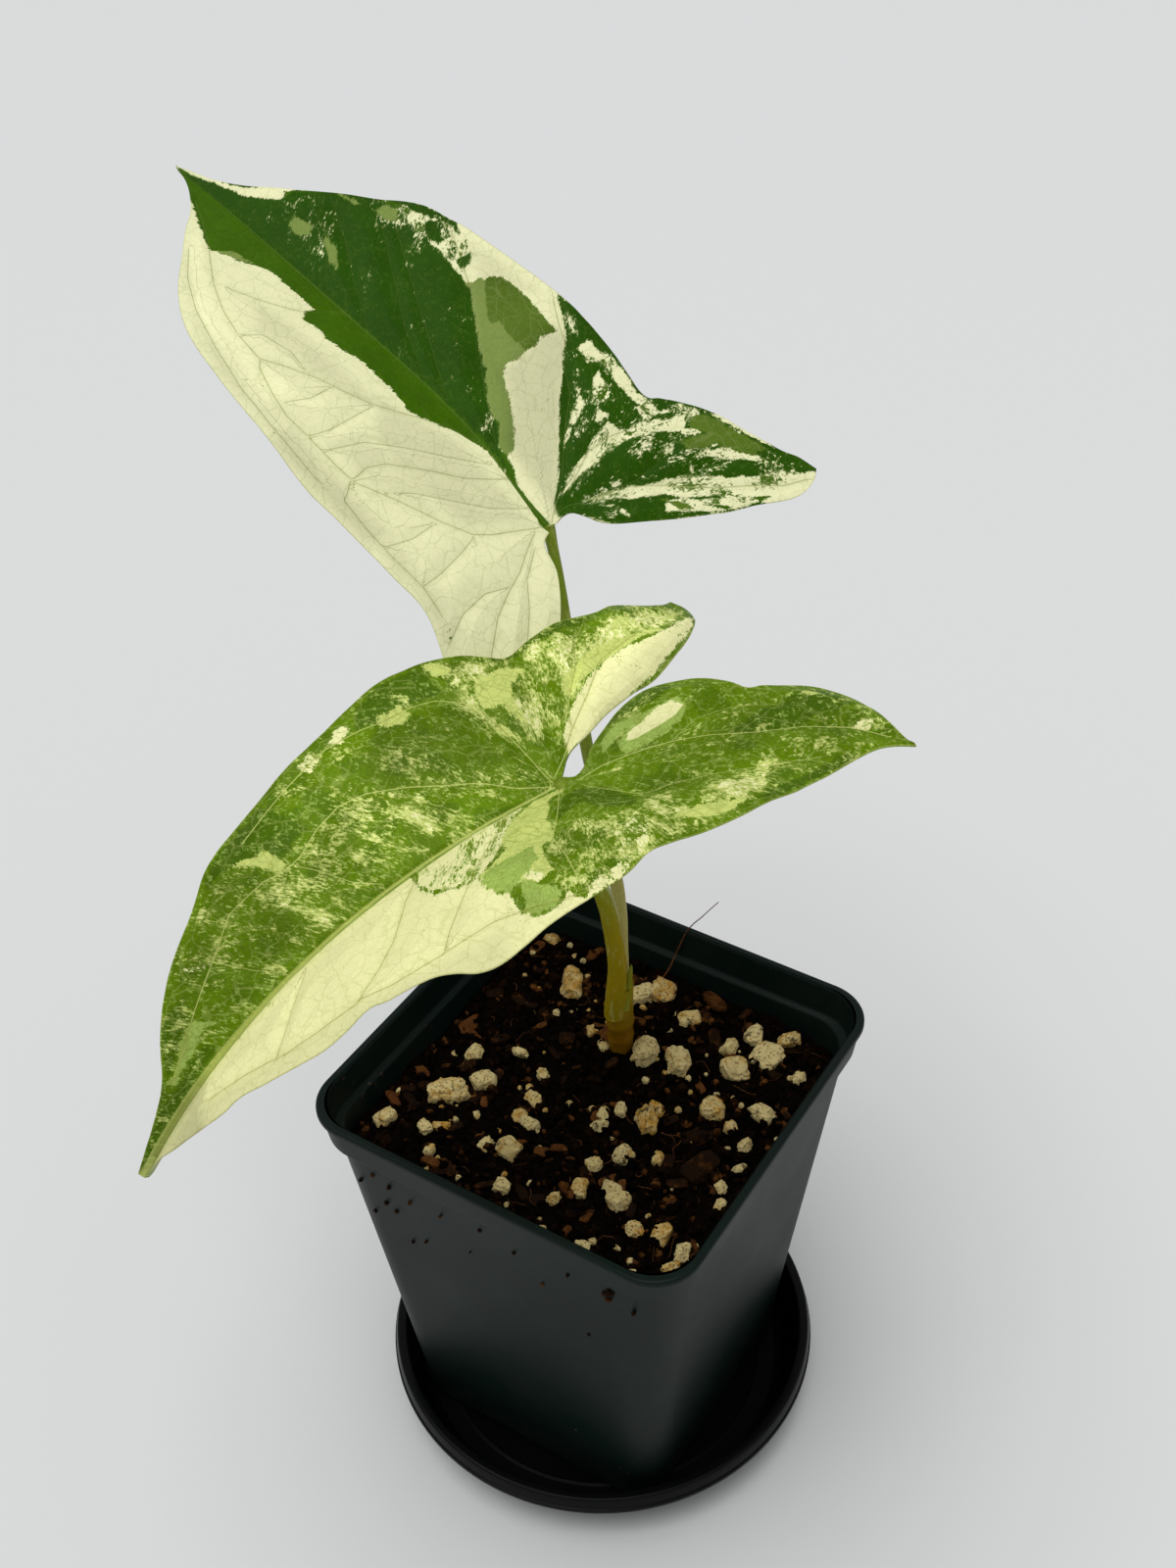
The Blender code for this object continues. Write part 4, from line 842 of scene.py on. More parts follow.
def random_turns(draw, count):
    """Rotation matrices from random quaternions."""
    w, x, y, z = np.moveaxis(draw.normal(size=(count, 4)), 1, 0)
    size = np.sqrt(w * w + x * x + y * y + z * z)
    w, x, y, z = w / size, x / size, y / size, z / size
    return np.stack([
        1 - 2 * (y * y + z * z), 2 * (x * y - z * w), 2 * (x * z + y * w),
        2 * (x * y + z * w), 1 - 2 * (x * x + z * z), 2 * (y * z - x * w),
        2 * (x * z - y * w), 2 * (y * z + x * w), 1 - 2 * (x * x + y * y),
    ], -1).reshape(-1, 3, 3)


def tilts(draw, count, steep):
    """Rotations that keep flat pieces lying down: any turn, with a small tilt."""
    turn = draw.uniform(0, 2 * math.pi, count)
    lean = draw.normal(0, steep, count)
    c, s, cl, sl = np.cos(turn), np.sin(turn), np.cos(lean), np.sin(lean)
    zero = np.zeros(count)
    return np.stack([c, -s * cl, s * sl, s, c * cl, -c * sl, zero, sl, cl], -1).reshape(-1, 3, 3)


def lumps(centres, sizes, turns, detail, rough, seed, square=1.0):
    """Copies of a ball, each stretched, made uneven by noise, turned and moved to its place.

    Its radius grows and shrinks by rough times a fractal noise, and square under 1 pushes the
    ball towards a block by that power of its coordinates.
    """
    ball, faces = unit_ball(detail)
    shaped = np.sign(ball) * np.abs(ball) ** square
    shaped = shaped / np.abs(shaped).max()
    count = len(centres)
    every = np.repeat(np.arange(count), len(ball))
    points = np.tile(shaped, (count, 1))
    place = np.tile(ball, (count, 1)) + every[:, None] * 7.31
    swell = 1 + rough * fractal(place, 0.9, 3, seed, 0.62)
    points = points * swell[:, None] * sizes[every]
    points = np.einsum("nij,nj->ni", turns[every], points) + centres[every]
    faces = (faces[None] + (np.arange(count) * len(ball))[:, None, None]).reshape(-1, 3)
    return points, faces, every


# Meshes
def mesh_object(name, points, faces):
    mesh = bpy.data.meshes.new(name)
    mesh.from_pydata(np.asarray(points, np.float32), [], faces)
    made = bpy.data.objects.new(name, mesh)
    bpy.context.scene.collection.objects.link(made)
    return made


def new_piece(name, points, faces, material, nodes=(), attributes=None, sharp=None):
    """A mesh object at the origin that rides with the plant and stands for its nodes."""
    piece = mesh_object(name, points, faces)
    mesh = piece.data
    for title, values in (attributes or {}).items():
        values = np.asarray(values, np.float32)
        kind, field = ("FLOAT", "value") if values.ndim == 1 else ("FLOAT_VECTOR", "vector")
        made = mesh.attributes.new(title, kind, "POINT")
        made.data.foreach_set(field, values.ravel())
    mesh.materials.append(material)
    mesh.update()
    mesh.shade_smooth()
    if sharp is not None:
        mesh.set_sharp_from_angle(angle=math.radians(sharp))
    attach(piece, "root")
    if nodes:
        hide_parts(*nodes)
    return piece


# Node groups
def add_node(tree, kind, inputs=None, **settings):
    """A node with its settings, and each input set to a value or joined to a wire."""
    made = tree.nodes.new(kind)
    for title, value in settings.items():
        setattr(made, title, value)
    for key, value in (inputs or {}).items():
        if isinstance(value, Wire):
            tree.links.new(value.socket, made.inputs[key])
        else:
            made.inputs[key].default_value = value
    return made


class Wire:
    """An output socket: arithmetic and the calls below add nodes after it and give new wires."""

    def __init__(self, socket):
        self.socket = socket

    def through(self, kind, inputs, output=0, **settings):
        """A new node in the same tree, and the wire out of it."""
        return Wire(add_node(self.socket.id_data, kind, inputs, **settings).outputs[output])

    def maths(self, operation, *values):
        """A Math node over the values."""
        return self.through("ShaderNodeMath", dict(enumerate(values)), operation=operation)

    def __add__(self, other):
        return self.maths("ADD", self, other)

    def __sub__(self, other):
        return self.maths("SUBTRACT", self, other)

    def __rsub__(self, other):
        return self.maths("SUBTRACT", other, self)

    def __mul__(self, other):
        return self.maths("MULTIPLY", self, other)

    def __abs__(self):
        return self.maths("ABSOLUTE", self)

    def scaled(self, factors):
        """A vector times a vector."""
        return self.through("ShaderNodeVectorMath", {0: self, 1: factors}, operation="MULTIPLY")

    def moved(self, shift):
        """A vector plus a vector."""
        return self.through("ShaderNodeVectorMath", {0: self, 1: shift}, operation="ADD")

    def parts(self):
        """The three numbers of a vector or a colour."""
        made = add_node(self.socket.id_data, "ShaderNodeSeparateXYZ", {0: self})
        return [Wire(socket) for socket in made.outputs]

    def noise(self, scale, detail=3.0, rough=0.5, output=0):
        """Fractal noise from 0 to 1 at this place."""
        inputs = {"Vector": self, "Scale": scale, "Detail": detail, "Roughness": rough}
        return self.through("ShaderNodeTexNoise", inputs, output)

    def cells(self, scale, feature="F1", output="Distance"):
        """Cells at this place: a distance in them, or a colour of their own."""
        inputs = {"Vector": self, "Scale": scale}
        return self.through("ShaderNodeTexVoronoi", inputs, output, feature=feature)

    def ramp(self, low, high, start=0.0, end=1.0):
        """A smooth step from start to end as the number goes from low to high."""
        inputs = {0: self, 1: low, 2: high, 3: start, 4: end}
        return self.through("ShaderNodeMapRange", inputs, interpolation_type="SMOOTHSTEP")

    def fall(self, low, high):
        """A smooth step from 1 down to 0."""
        return self.ramp(low, high, 1.0, 0.0)

    def blend(self, factor, other, kind="MIX"):
        """This colour, turned towards another by a factor."""
        inputs = {0: factor, 6: self, 7: other}
        return self.through("ShaderNodeMix", inputs, 2, data_type="RGBA", blend_type=kind)

    def times(self, factor):
        """This colour, made lighter or darker."""
        return self.blend(1.0, factor, "MULTIPLY")


def attribute(tree, title, field="Vector"):
    """An attribute of the mesh, as a vector or as a number."""
    return Wire(add_node(tree, "ShaderNodeAttribute", attribute_name=title).outputs[field])


def object_place(tree):
    """The place in metres, in the object's own frame."""
    return Wire(add_node(tree, "ShaderNodeTexCoord").outputs["Object"])


def new_group(name, colours, numbers):
    """A node group with named sockets: colours by name, numbers with their default values."""
    tree = bpy.data.node_groups.new(name, "ShaderNodeTree")
    for title, value in (dict.fromkeys(colours, MIDDLE_GREY) | numbers).items():
        kind = "NodeSocketColor" if title in colours else "NodeSocketFloat"
        socket = tree.interface.new_socket(title, in_out="INPUT", socket_type=kind)
        socket.default_value = value
    for title, kind in GROUP_OUTPUTS.items():
        tree.interface.new_socket(title, in_out="OUTPUT", socket_type=kind)
    return tree, {socket.name: Wire(socket) for socket in tree.nodes.new("NodeGroupInput").outputs}


def close_group(tree, *wires):
    """Join the colour, the roughness and the height to the group's outputs."""
    result = tree.nodes.new("NodeGroupOutput")
    for title, wire in zip(GROUP_OUTPUTS, wires):
        tree.links.new(wire.socket, result.inputs[title])
    return tree


def leaf_pattern():
    """Blade colours: five tones parted by ragged edges, flecks along the flow, veins, and painted
    light and shade.
    """
    tree, given = new_group("leaf_pattern", LEAF_TONES, {
        "Ragged": 0.5, "Mottle": 0.5, "Green Veins": 0.3, "Quilt": 0.5, "Heart": 0.1,
    })
    flow, place = attribute(tree, "leaf_flow"), attribute(tree, "leaf_place")
    edges = attribute(tree, "tone_edges").parts()
    dark_edge, share, rim_gap = attribute(tree, "tone_more").parts()
    gap = abs(attribute(tree, "vein_gap", "Fac"))
    under = attribute(tree, "under", "Fac")

    # Ragged edges between the tones, but straight ones along the midrib.
    streaks = flow.scaled((1.0, 0.40, 1.0))
    wide = streaks.noise(0.60, 5.0, 0.66) - 0.5
    grain = flow.scaled((1.0, 0.7, 1.0)).noise(3.2, 2.0) - 0.5
    calm = abs(place.parts()[1]).ramp(0.2, 1.8) * given["Ragged"]
    shift = (wide * 5.0 + grain * 2.2) * calm
    masks = [(edge + shift).ramp(-0.10, 0.14) for edge in edges]
    masks.append((dark_edge + shift).ramp(-0.4, 0.5))
    past_cream, past_pale, green, _ = masks
    light = 1.0 - green
    colour_now = given["Cream"]
    for mask, title in zip(masks, ("Pale", "Grey", "Green", "Dark")):
        colour_now = colour_now.blend(mask, given[title])

    # Quilt: darker and paler scraps inside the greens.
    speck = flow.scaled((1.0, 0.46, 1.0)).noise(2.0, 7.0, 0.76)
    sway = place.noise(1.1, 4.0, output="Color").scaled((1.7, 1.7, 0.0))
    swayed = place.moved(sway)
    small = swayed.cells(1.15, output="Color").parts()[0]
    large = swayed.cells(0.42, output="Color").parts()[0]
    scrap = swayed.cells(0.26, output="Color").parts()[1]
    quilt = green * given["Quilt"]
    deep = (speck * 0.6 + scrap).ramp(0.98, 1.03, 0.0, 0.62)
    colour_now = colour_now.blend(deep * quilt, given["Dark"])
    thin = (speck * 1.6 + small * 0.34).ramp(1.10, 1.15, 0.0, 0.75)
    colour_now = colour_now.blend(thin * quilt, given["Grey"])

    # Flecks: pale ones with cream hearts on green, and grey ones with green hearts on cream,
    # where fine noise and two sizes of cells pass a level that falls with the share of flecks.
    level = 1.005 - share * 0.44 - streaks.noise(0.26, 3.0, 0.6) * 0.56
    over = speck * 0.82 + small * 0.07 + large * 0.10 - level
    fleck = over.ramp(-0.006, 0.012)
    on_cream, on_green = fleck * (1.0 - past_cream), fleck * green
    heart = over.ramp(given["Heart"], given["Heart"] + 0.035)
    colour_now = colour_now.blend(on_green * over.ramp(0.0, 0.11, 0.34, 1.0), given["Pale"])
    colour_now = colour_now.blend(on_green * heart, given["Cream"])
    colour_now = colour_now.blend(on_cream, given["Grey"])
    colour_now = colour_now.blend(on_cream * over.ramp(0.03, 0.06), given["Green"])

    # Mottle: fine grains and slow drifts inside one tone.
    dim = streaks.noise(3.6, 4.0, 0.65).ramp(0.25, 0.75, 0.74, 1.24)
    dim = dim * place.noise(0.09, 2.0).ramp(0.3, 0.7, 0.88, 1.14)
    reach = past_pale.ramp(0.0, 1.0, 0.30, 1.0) * given["Mottle"]
    colour_now = colour_now.times((dim - 1.0) * reach + 1.0)

    # Veins: lines over the main ones with painted shade beside them, a faint net, and a margin
    # line.
    line, vein_shade = gap.fall(0.03, 0.20), gap.fall(0.1, 1.6)
    bent = (place.noise(0.45) - 0.5) * 2.6
    bent = place.moved(bent.scaled((1.0, -0.7, 0.0)))
    wide_net = bent.cells(0.24, "DISTANCE_TO_EDGE").fall(0.0, 0.045)
    net = bent.cells(0.60, "DISTANCE_TO_EDGE").fall(0.0, 0.09)
    rim = rim_gap.fall(0.05, 0.40)
    marks = line * 0.50 + vein_shade * 0.14 + net * 0.12 + wide_net * 0.20 + rim * 0.30
    colour_now = colour_now.blend(marks * light, given["Vein"])
    marks = line + rim * 0.4 + wide_net * 0.25
    colour_now = colour_now.blend(marks * green * given["Green Veins"], given["Pale"])
    marks = net * 0.7 + wide_net * 0.5
    colour_now = colour_now.blend(marks * past_cream * light * 0.34, given["Green"])
    # Painted light and shade: the colour made darker and lighter inside outlines on the blade.
    colour_now = colour_now.times(attribute(tree, "painted_light_and_shade", "Fac"))
    colour_now = colour_now.blend(under * 0.55, given["Under"])

    cell = place.noise(5.0, 2.0)
    gloss = cell.ramp(0.3, 0.7, 0.36, 0.48) + under * 0.16
    tall = cell * 0.08 - line * 0.30 - wide_net * 0.12 - net * 0.04
    return close_group(tree, colour_now, gloss, tall)


def skin_pattern():
    """Stalk skin: green above, olive and brown towards the mix, with pale streaks along it."""
    tree, given = new_group("skin_pattern", SKIN_TONES, {
        "Brown Level": 0.100, "Green Level": 0.150,
    })
    place, height = attribute(tree, "stalk_place"), object_place(tree).parts()[2]
    lines = place.scaled((1.0, 1.0, 0.08)).noise(2.2, 3.0, 0.6)
    fine = place.scaled((3.0, 3.0, 0.5)).noise(3.0)
    rise = height - given["Green Level"] + (lines - 0.5) * 0.03
    colour_now = given["Olive"].blend(rise.ramp(-0.03, 0.02), given["Green"])
    colour_now = colour_now.blend(lines.ramp(0.52, 0.70, 0.0, 0.45), given["Streak"])
    sink = given["Brown Level"] - height + (fine - 0.5) * 0.006
    colour_now = colour_now.blend(sink.ramp(-0.008, 0.006), given["Brown"])
    colour_now = colour_now.times(fine.ramp(0.3, 0.7, 0.84, 1.12))
    return close_group(tree, colour_now, fine.ramp(0.3, 0.7, 0.34, 0.46), lines)


def plastic_pattern():
    """Moulded plastic: a faint haze, clinging specks of dust and a fine moulded grain."""
    tree, given = new_group("plastic_pattern", ("Plastic", "Dust"), {
        "Specks": 0.5, "Haze": 0.5, "Dullness": 0.4,
    })
    place = object_place(tree)
    cloud = place.noise(55.0, 4.0, 0.6)
    limit = 0.86 - given["Specks"] * 0.30
    gate = place.noise(38.0, 3.0, 0.7).ramp(limit, limit + 0.05)
    speck = place.cells(420.0).fall(0.10, 0.24) * gate
    haze = cloud.ramp(0.42, 0.72) * given["Haze"]
    colour_now = given["Plastic"].blend(haze, given["Dust"]).blend(speck, given["Dust"])
    rough = given["Dullness"] - 0.08 + cloud * 0.16 + speck * 0.3
    tall = place.noise(2400.0, 2.0) * 0.10 + speck * 0.9
    return close_group(tree, colour_now, rough, tall)


def mix_pattern():
    """Potting mix: dark wet hollows, browner lumps and rusty bits, tinted by each piece."""
    tree, given = new_group("mix_pattern", ("Dark", "Brown", "Rust"), {"Rust Share": 0.3})
    place, tint = object_place(tree), attribute(tree, "tint", "Fac")
    lump = place.noise(420.0, 5.0, 0.66)
    grain = place.noise(2200.0, 3.0, 0.6)
    colour_now = given["Dark"].blend((lump + tint).ramp(0.42, 0.86), given["Brown"])
    limit = 0.98 - given["Rust Share"]
    rusty = (place.noise(260.0, 2.0) + tint * 0.5).ramp(limit, limit + 0.12)
    colour_now = colour_now.blend(rusty, given["Rust"])
    colour_now = colour_now.times(grain.ramp(0.3, 0.7, 0.65, 1.3))
    return close_group(tree, colour_now, lump.ramp(0.35, 0.65, 0.62, 0.92), lump + grain * 0.4)


def pumice_pattern():
    """Pumice: ivory with brown stains, soiled spots and open pores, tinted by each grain."""
    tree, given = new_group("pumice_pattern", ("Pumice", "Stain", "Mix"), {})
    place, tint = object_place(tree), attribute(tree, "tint", "Fac")
    blot = place.noise(520.0, 4.0, 0.65)
    grain = place.noise(2600.0, 3.0, 0.6)
    hole = place.cells(1500.0).fall(0.10, 0.38)
    stain = (blot + tint * 0.55).ramp(0.44, 0.84)
    dirty = hole * blot.ramp(0.38, 0.60, 0.25, 0.95)
    soiled = place.noise(300.0, 4.0, 0.7).ramp(0.58, 0.66, 0.0, 0.85)
    colour_now = given["Pumice"].blend(stain, given["Stain"]).blend(dirty, given["Stain"])
    colour_now = colour_now.blend(soiled, given["Mix"])
    return close_group(tree, colour_now, grain.ramp(0.3, 0.7, 0.72, 0.95), grain * 0.5 - hole)


def surface(name, pattern, values, bump, specular):
    """A material: the pattern's colour, roughness and height feed one Principled BSDF.

    The pattern's node group is built the first time that it is asked for.
    """
    material = bpy.data.materials.new(name)
    material.use_nodes = True
    tree = material.node_tree
    group = tree.nodes.new("ShaderNodeGroup")
    group.node_tree = bpy.data.node_groups.get(pattern.__name__) or pattern()
    for title, value in values.items():
        plain = isinstance(value, (int, float))
        group.inputs[title].default_value = value if plain else (*value, 1.0)
    height = Wire(group.outputs["Height"])
    inputs = {"Height": height, "Strength": 1.0, "Distance": bump}
    relief = add_node(tree, "ShaderNodeBump", inputs)
    shader = tree.nodes["Principled BSDF"]
    shader.inputs["Specular IOR Level"].default_value = specular
    tree.links.new(group.outputs["Color"], shader.inputs["Base Color"])
    tree.links.new(group.outputs["Roughness"], shader.inputs["Roughness"])
    tree.links.new(relief.outputs[0], shader.inputs["Normal"])
    return material


def colours_of(look, titles):
    """The look's colours under the names of a group's sockets."""
    return {title: getattr(look, title.lower()) for title in titles}


# Leaves
def half_outline(leaf, side):
    """Margin and spine of one half, from the apex round the lobe to the notch."""
    apex, notch, tip = leaf["apex"], leaf["notch"], leaf["lobe_tip"][side]
    front = leaf["front"][side]
    outer = smooth_curve([apex, *front, *leaf["lobe"][side], tip], OUTLINE_STEPS)
    shoulder = int(np.argmin(np.linalg.norm(outer - np.array(front[-1]), axis=1)))
    junction = (0.0, 0.0)
    vein = smooth_curve([junction, *leaf["lobe_vein"][side], tip], LOBE_VEIN_STEPS)
    vein = vein[: int(len(vein) * SPINE_END)]
    rib_end = (apex[0] * SPINE_END, apex[1] * SPINE_END)
    margin = np.concatenate([
        even_steps(outer[: shoulder + 1], SHEET_FRONT + 1),
        even_steps(outer[shoulder:], SHEET_LOBE + 1)[1:],
        smooth_curve([tip, *leaf["inside"][side], notch], SHEET_LOBE + 1)[1:],
    ])
    down = even_steps(vein, SHEET_LOBE + 1)
    spine = np.concatenate([
        np.linspace(rib_end, junction, SHEET_FRONT + 1), down[1:], down[::-1][1:],
    ])
    return margin, spine


def soft_ramp(distance, softness):
    """Zero below the start and the distance beyond it, with a rounded corner."""
    return 0.5 * (np.sqrt(distance**2 + softness**2) + distance - softness)


def blade_heights(leaf, side, along, across):
    """Height over the midrib's arc: each half folds up, arches back, and its lobe twists."""
    outward = np.where(side == 0, across, -across)
    wide = np.sign(outward) * (np.sqrt(outward**2 + SOFT_MIDRIB**2) - SOFT_MIDRIB)
    wide = np.where(side == 1, np.abs(wide), wide)
    fold, arch, twist, inner, angle = (
        np.choose(side, leaf[key]) for key in ("fold", "arch", "twist", "inner", "lobe_angle")
    )
    angle = np.radians(angle)
    back = soft_ramp(-along, SOFT_BACK)
    towards_notch = -np.sin(angle) * along + np.cos(angle) * outward
    return (
        fold * wide + arch * across**2 + twist * back * np.abs(wide)
        + inner * soft_ramp(towards_notch, SOFT_LOBE)
    )


def blade_place(leaf, along, across, height):
    """From blade coordinates to metres: bend along the midrib, then turn and move."""
    droop = leaf["droop"]
    bend = droop * along
    local = np.stack([
        np.sin(bend) / droop + np.sin(bend) * height,
        across,
        (np.cos(bend) - 1) / droop + np.cos(bend) * height,
    ], -1)
    roll, pitch, turn = (math.radians(angle) for angle in leaf["turn"])
    turned_by = (
        Matrix.Rotation(turn, 3, "Z") @ Matrix.Rotation(pitch, 3, "Y")
        @ Matrix.Rotation(roll, 3, "X")
    )
    return local @ np.array(turned_by).T + np.array(leaf["junction"])


def inside_by(points, outline):
    """Distance to a closed outline, positive inside it.

    The nearest edge gives the distance, and the count of edges crossed on the way out the sign.
    """
    corners = np.asarray(outline, float)
    following = np.roll(corners, -1, axis=0)
    edge = following - corners
    away = points[:, None] - corners
    part = np.clip((away * edge).sum(-1) / (edge**2).sum(-1), 0, 1)
    gap = np.linalg.norm(away - part[..., None] * edge, axis=-1).min(1)
    spans = (corners[:, 1] > points[:, 1:2]) != (following[:, 1] > points[:, 1:2])
    rise = np.where(edge[:, 1] == 0, 1.0, edge[:, 1])
    meets = corners[:, 0] + away[..., 1] * edge[:, 0] / rise
    crossed = (spans & (points[:, :1] < meets)).sum(1) % 2
    return np.where(crossed == 1, gap, -gap)


def line_gap(points, line):
    """Distance to the nearest point of an open line, negative on its right."""
    line = np.asarray(line, float)
    edge = line[1:] - line[:-1]
    away = points[:, None] - line[:-1]
    part = np.clip((away * edge).sum(-1) / (edge**2).sum(-1), 0, 1)
    gap = np.linalg.norm(away - part[..., None] * edge, axis=-1)
    near = gap.argmin(1)
    row = np.arange(len(points))
    turn = edge[near, 0] * away[row, near, 1] - edge[near, 1] * away[row, near, 0]
    return np.where(turn < 0, -gap[row, near], gap[row, near])


def vein_gaps(leaf, flat):
    """Signed distance to the nearest vein, over its width, and distance to the midrib."""
    midrib = line_gap(flat, leaf["midrib"])
    gaps = [line_gap(flat, line) / width for width, line in leaf["veins"]]
    gaps = np.stack([midrib / MIDRIB_WIDTH, *gaps])
    nearest = np.abs(gaps).argmin(0)
    return gaps[nearest, np.arange(len(flat))], np.abs(midrib)


def tone_fields(leaf, flat):
    """Distances to the four edges between the five tones, the share of flecks, and painted light
    and shade.

    Each patch is painted over those before it: inside it, every edge up to its tone moves out
    by the distance to its outline, and every edge past its tone moves in.
    """
    far = TONE_REACH
    tones = np.arange(PALE, DARK + 1)
    edges = np.where(tones <= leaf["base"], far, -far) * np.ones((len(flat), 1))
    for tone, outline in leaf["patches"]:
        inside = np.clip(inside_by(flat, outline), -far, far)[:, None]
        edges = np.where(
            tones <= tone, np.maximum(edges, inside), np.minimum(edges, -inside)
        )
    flecks = np.full(len(flat), leaf["fleck_base"])
    for level, outline in leaf["flecks"]:
        reach = np.clip(inside_by(flat, outline) / FLECK_REACH + 0.5, 0, 1)
        flecks += (level - flecks) * reach
    # Painted light and shade: a factor that eases towards each outline's level inside it.
    painted_shading = np.ones(len(flat))
    for level, outline in leaf["light_and_shade"]:
        reach = np.clip(inside_by(flat, outline) / LIGHT_SHADE_REACH + 0.5, 0, 1)
        painted_shading *= 1 + (level - 1) * reach * reach * (3 - 2 * reach)
    return edges, flecks, painted_shading


def flow_of(flat):
    """Coordinates that run with the veins: across the flow, along it, and the side.

    In front of the junction the flow leans forward from the midrib, and behind it the flow
    fans out round the junction.
    """
    along, outward = flat[:, 0], np.abs(flat[:, 1])
    start = math.atan2(1.0, FLOW_LEAN)
    angle = np.arctan2(outward, along)
    stream = np.where(angle < start, along - FLOW_LEAN * outward, (start - angle) * FLOW_FAN)
    return np.stack([stream, np.hypot(along, outward), np.sign(flat[:, 1]) * FLOW_SIDE], -1)


def blade_grid(leaf):
    """Flat grid points, their side, their share of the way out and their distance to the margin.

    Columns run round the outline and rows outwards. The last row but one lies just inside the
    margin, and the last on it.
    """
    rows = np.append(np.linspace(0.0, 1.0, SHEET_ROWS), 1.0)
    rows[-2] = 1.0 - RIM_INSET
    rows = rows[None, :, None]
    flats, sides, widths = [], [], []
    for side in (0, 1):
        margin, spine = half_outline(leaf, side)
        if side == 1:
            margin, spine = margin[::-1][1:-1], spine[::-1][1:-1]
        flats.append(spine[:, None] * (1 - rows) + margin[:, None] * rows)
        sides.append(np.full(flats[-1].shape[:2], side))
        widths.append(np.linalg.norm(margin - spine, axis=1)[:, None] * (1 - rows[0, :, 0]))
    grid = np.concatenate(flats)
    outer = np.broadcast_to(rows[..., 0], grid.shape[:2])
    return grid, np.concatenate(sides), outer, np.concatenate(widths)


def off_margin(edge, steep):
    """A share from 0 at the margin up to 1 inside it."""
    return np.clip((1 - edge) * steep, 0, 1)


def make_leaf(name, leaf, look, nodes, material):
    """A closed blade: an upper and an under sheet that meet in a thin rim round the margin.

    The sheets follow the blade's fold, arch and droop, rise in pillows between the veins, dip
    over them, and wave near the margin. The underside carries ribs under the veins.
    """
    grid, side, outer, rim_gap = blade_grid(leaf)
    columns = len(grid)
    keys = np.round(grid.reshape(-1, 2) * 1e4).astype(np.int64)
    _, first, index = np.unique(keys, axis=0, return_index=True, return_inverse=True)
    index = index.reshape(-1)
    flat = grid.reshape(-1, 2)[first]
    edge = outer.reshape(-1)[first]
    rim_gap = rim_gap.reshape(-1)[first]
    sides = side.reshape(-1)
    metres = grid.reshape(-1, 2) * MM
    height = blade_heights(leaf, sides, metres[:, 0], metres[:, 1])
    height = np.bincount(index, height) / np.bincount(index)

    signed_gap, midrib = vein_gaps(leaf, flat)
    gap = np.abs(signed_gap)
    onward = np.clip(flat[:, 0] / leaf["apex"][0], 0, 1)
    at = np.column_stack([flat, np.zeros(len(flat))])
    pillow = (1 - bell(gap, PILLOW_REACH)) * off_margin(edge, 4)
    pillow = pillow * (1 + PILLOW_UNEVEN * fractal(at, PILLOW_NOISE, 2, 11))
    groove = bell(gap, GROOVE_REACH)
    wave = edge**3 * (fractal(at, WAVE_NOISE, 3, 21) * WAVE_UNEVEN)
    crinkle = CRINKLE_UNEVEN * fractal(at, CRINKLE_NOISE, 2, 31) * off_margin(edge, 6)
    height = height + look.pillow * (pillow - PILLOW_SUNK + crinkle) - look.groove * groove
    height = height + look.wave * wave

    swell = look.thickness - look.rim_thickness
    thick = look.rim_thickness + swell * off_margin(edge, 5)
    ribs = MIDRIB_HEIGHT * (1 - MIDRIB_TAPER * onward) * bell(midrib, MIDRIB_REACH)
    ribs = ribs + VEIN_RIB_HEIGHT * bell(gap, VEIN_RIB_REACH)
    is_rim = edge > 1 - RIM_INSET / 2
    middle = height - thick / 2
    top = np.where(is_rim, middle, height)
    below = height - thick - ribs * (edge < RIB_END)
    flat_m = flat * MM
    upper = blade_place(leaf, flat_m[:, 0], flat_m[:, 1], top)
    under = blade_place(leaf, flat_m[:, 0], flat_m[:, 1], below)

    index = index.reshape(columns, -1)
    lower_index = index + len(upper)
    lower_index[:, -1] = index[:, -1]
    faces = np.concatenate([strip_faces(index)[:, ::-1], strip_faces(lower_index)])
    points = np.concatenate([upper, under])
    used, faces = np.unique(faces, return_inverse=True)
    faces = faces.reshape(-1, 4)

    edges, flecks, painted_shading = tone_fields(leaf, flat)
    twice = np.tile(np.column_stack([edges, flecks, rim_gap, signed_gap, painted_shading]), (2, 1))[used]
    attributes = {
        "tone_edges": twice[:, :3],
        "tone_more": twice[:, 3:6],
        "vein_gap": twice[:, 6],
        # painted light and shade: a factor on the blade's colour
        "painted_light_and_shade": twice[:, 7],
        "leaf_place": np.tile(at, (2, 1))[used],
        "leaf_flow": np.tile(flow_of(flat), (2, 1))[used],
        "under": np.repeat([0.0, 1.0], len(flat))[used],
    }
    return new_piece(name, points[used], faces, material, nodes, attributes)


def leaf_material(name, leaf, look):
    values = colours_of(look, LEAF_TONES) | leaf["paint"]
    return surface(name, leaf_pattern, values, LEAF_BUMP, leaf["specular"])


class ARROWHEAD_OT_lower_leaf(bpy.types.Operator):
    """Build the broad lower blade"""

    bl_idname = "arrowhead.lower_leaf"
    bl_label = "Lower leaf"

    def execute(self, context):
        look = context.scene.arrowhead_lower_leaf
        material = leaf_material("lower_leaf_skin", LOWER_LEAF, look)
        make_leaf("lower_leaf_blade", LOWER_LEAF, look, ["lower_leaf"], material)
        return {"FINISHED"}


class ARROWHEAD_OT_upper_leaf(bpy.types.Operator):
    """Build the tall upper blade"""

    bl_idname = "arrowhead.upper_leaf"
    bl_label = "Upper leaf"

    def execute(self, context):
        look = context.scene.arrowhead_upper_leaf
        material = leaf_material("upper_leaf_skin", UPPER_LEAF, look)
        make_leaf("upper_leaf_blade", UPPER_LEAF, look, ["upper_leaf"], material)
        return {"FINISHED"}


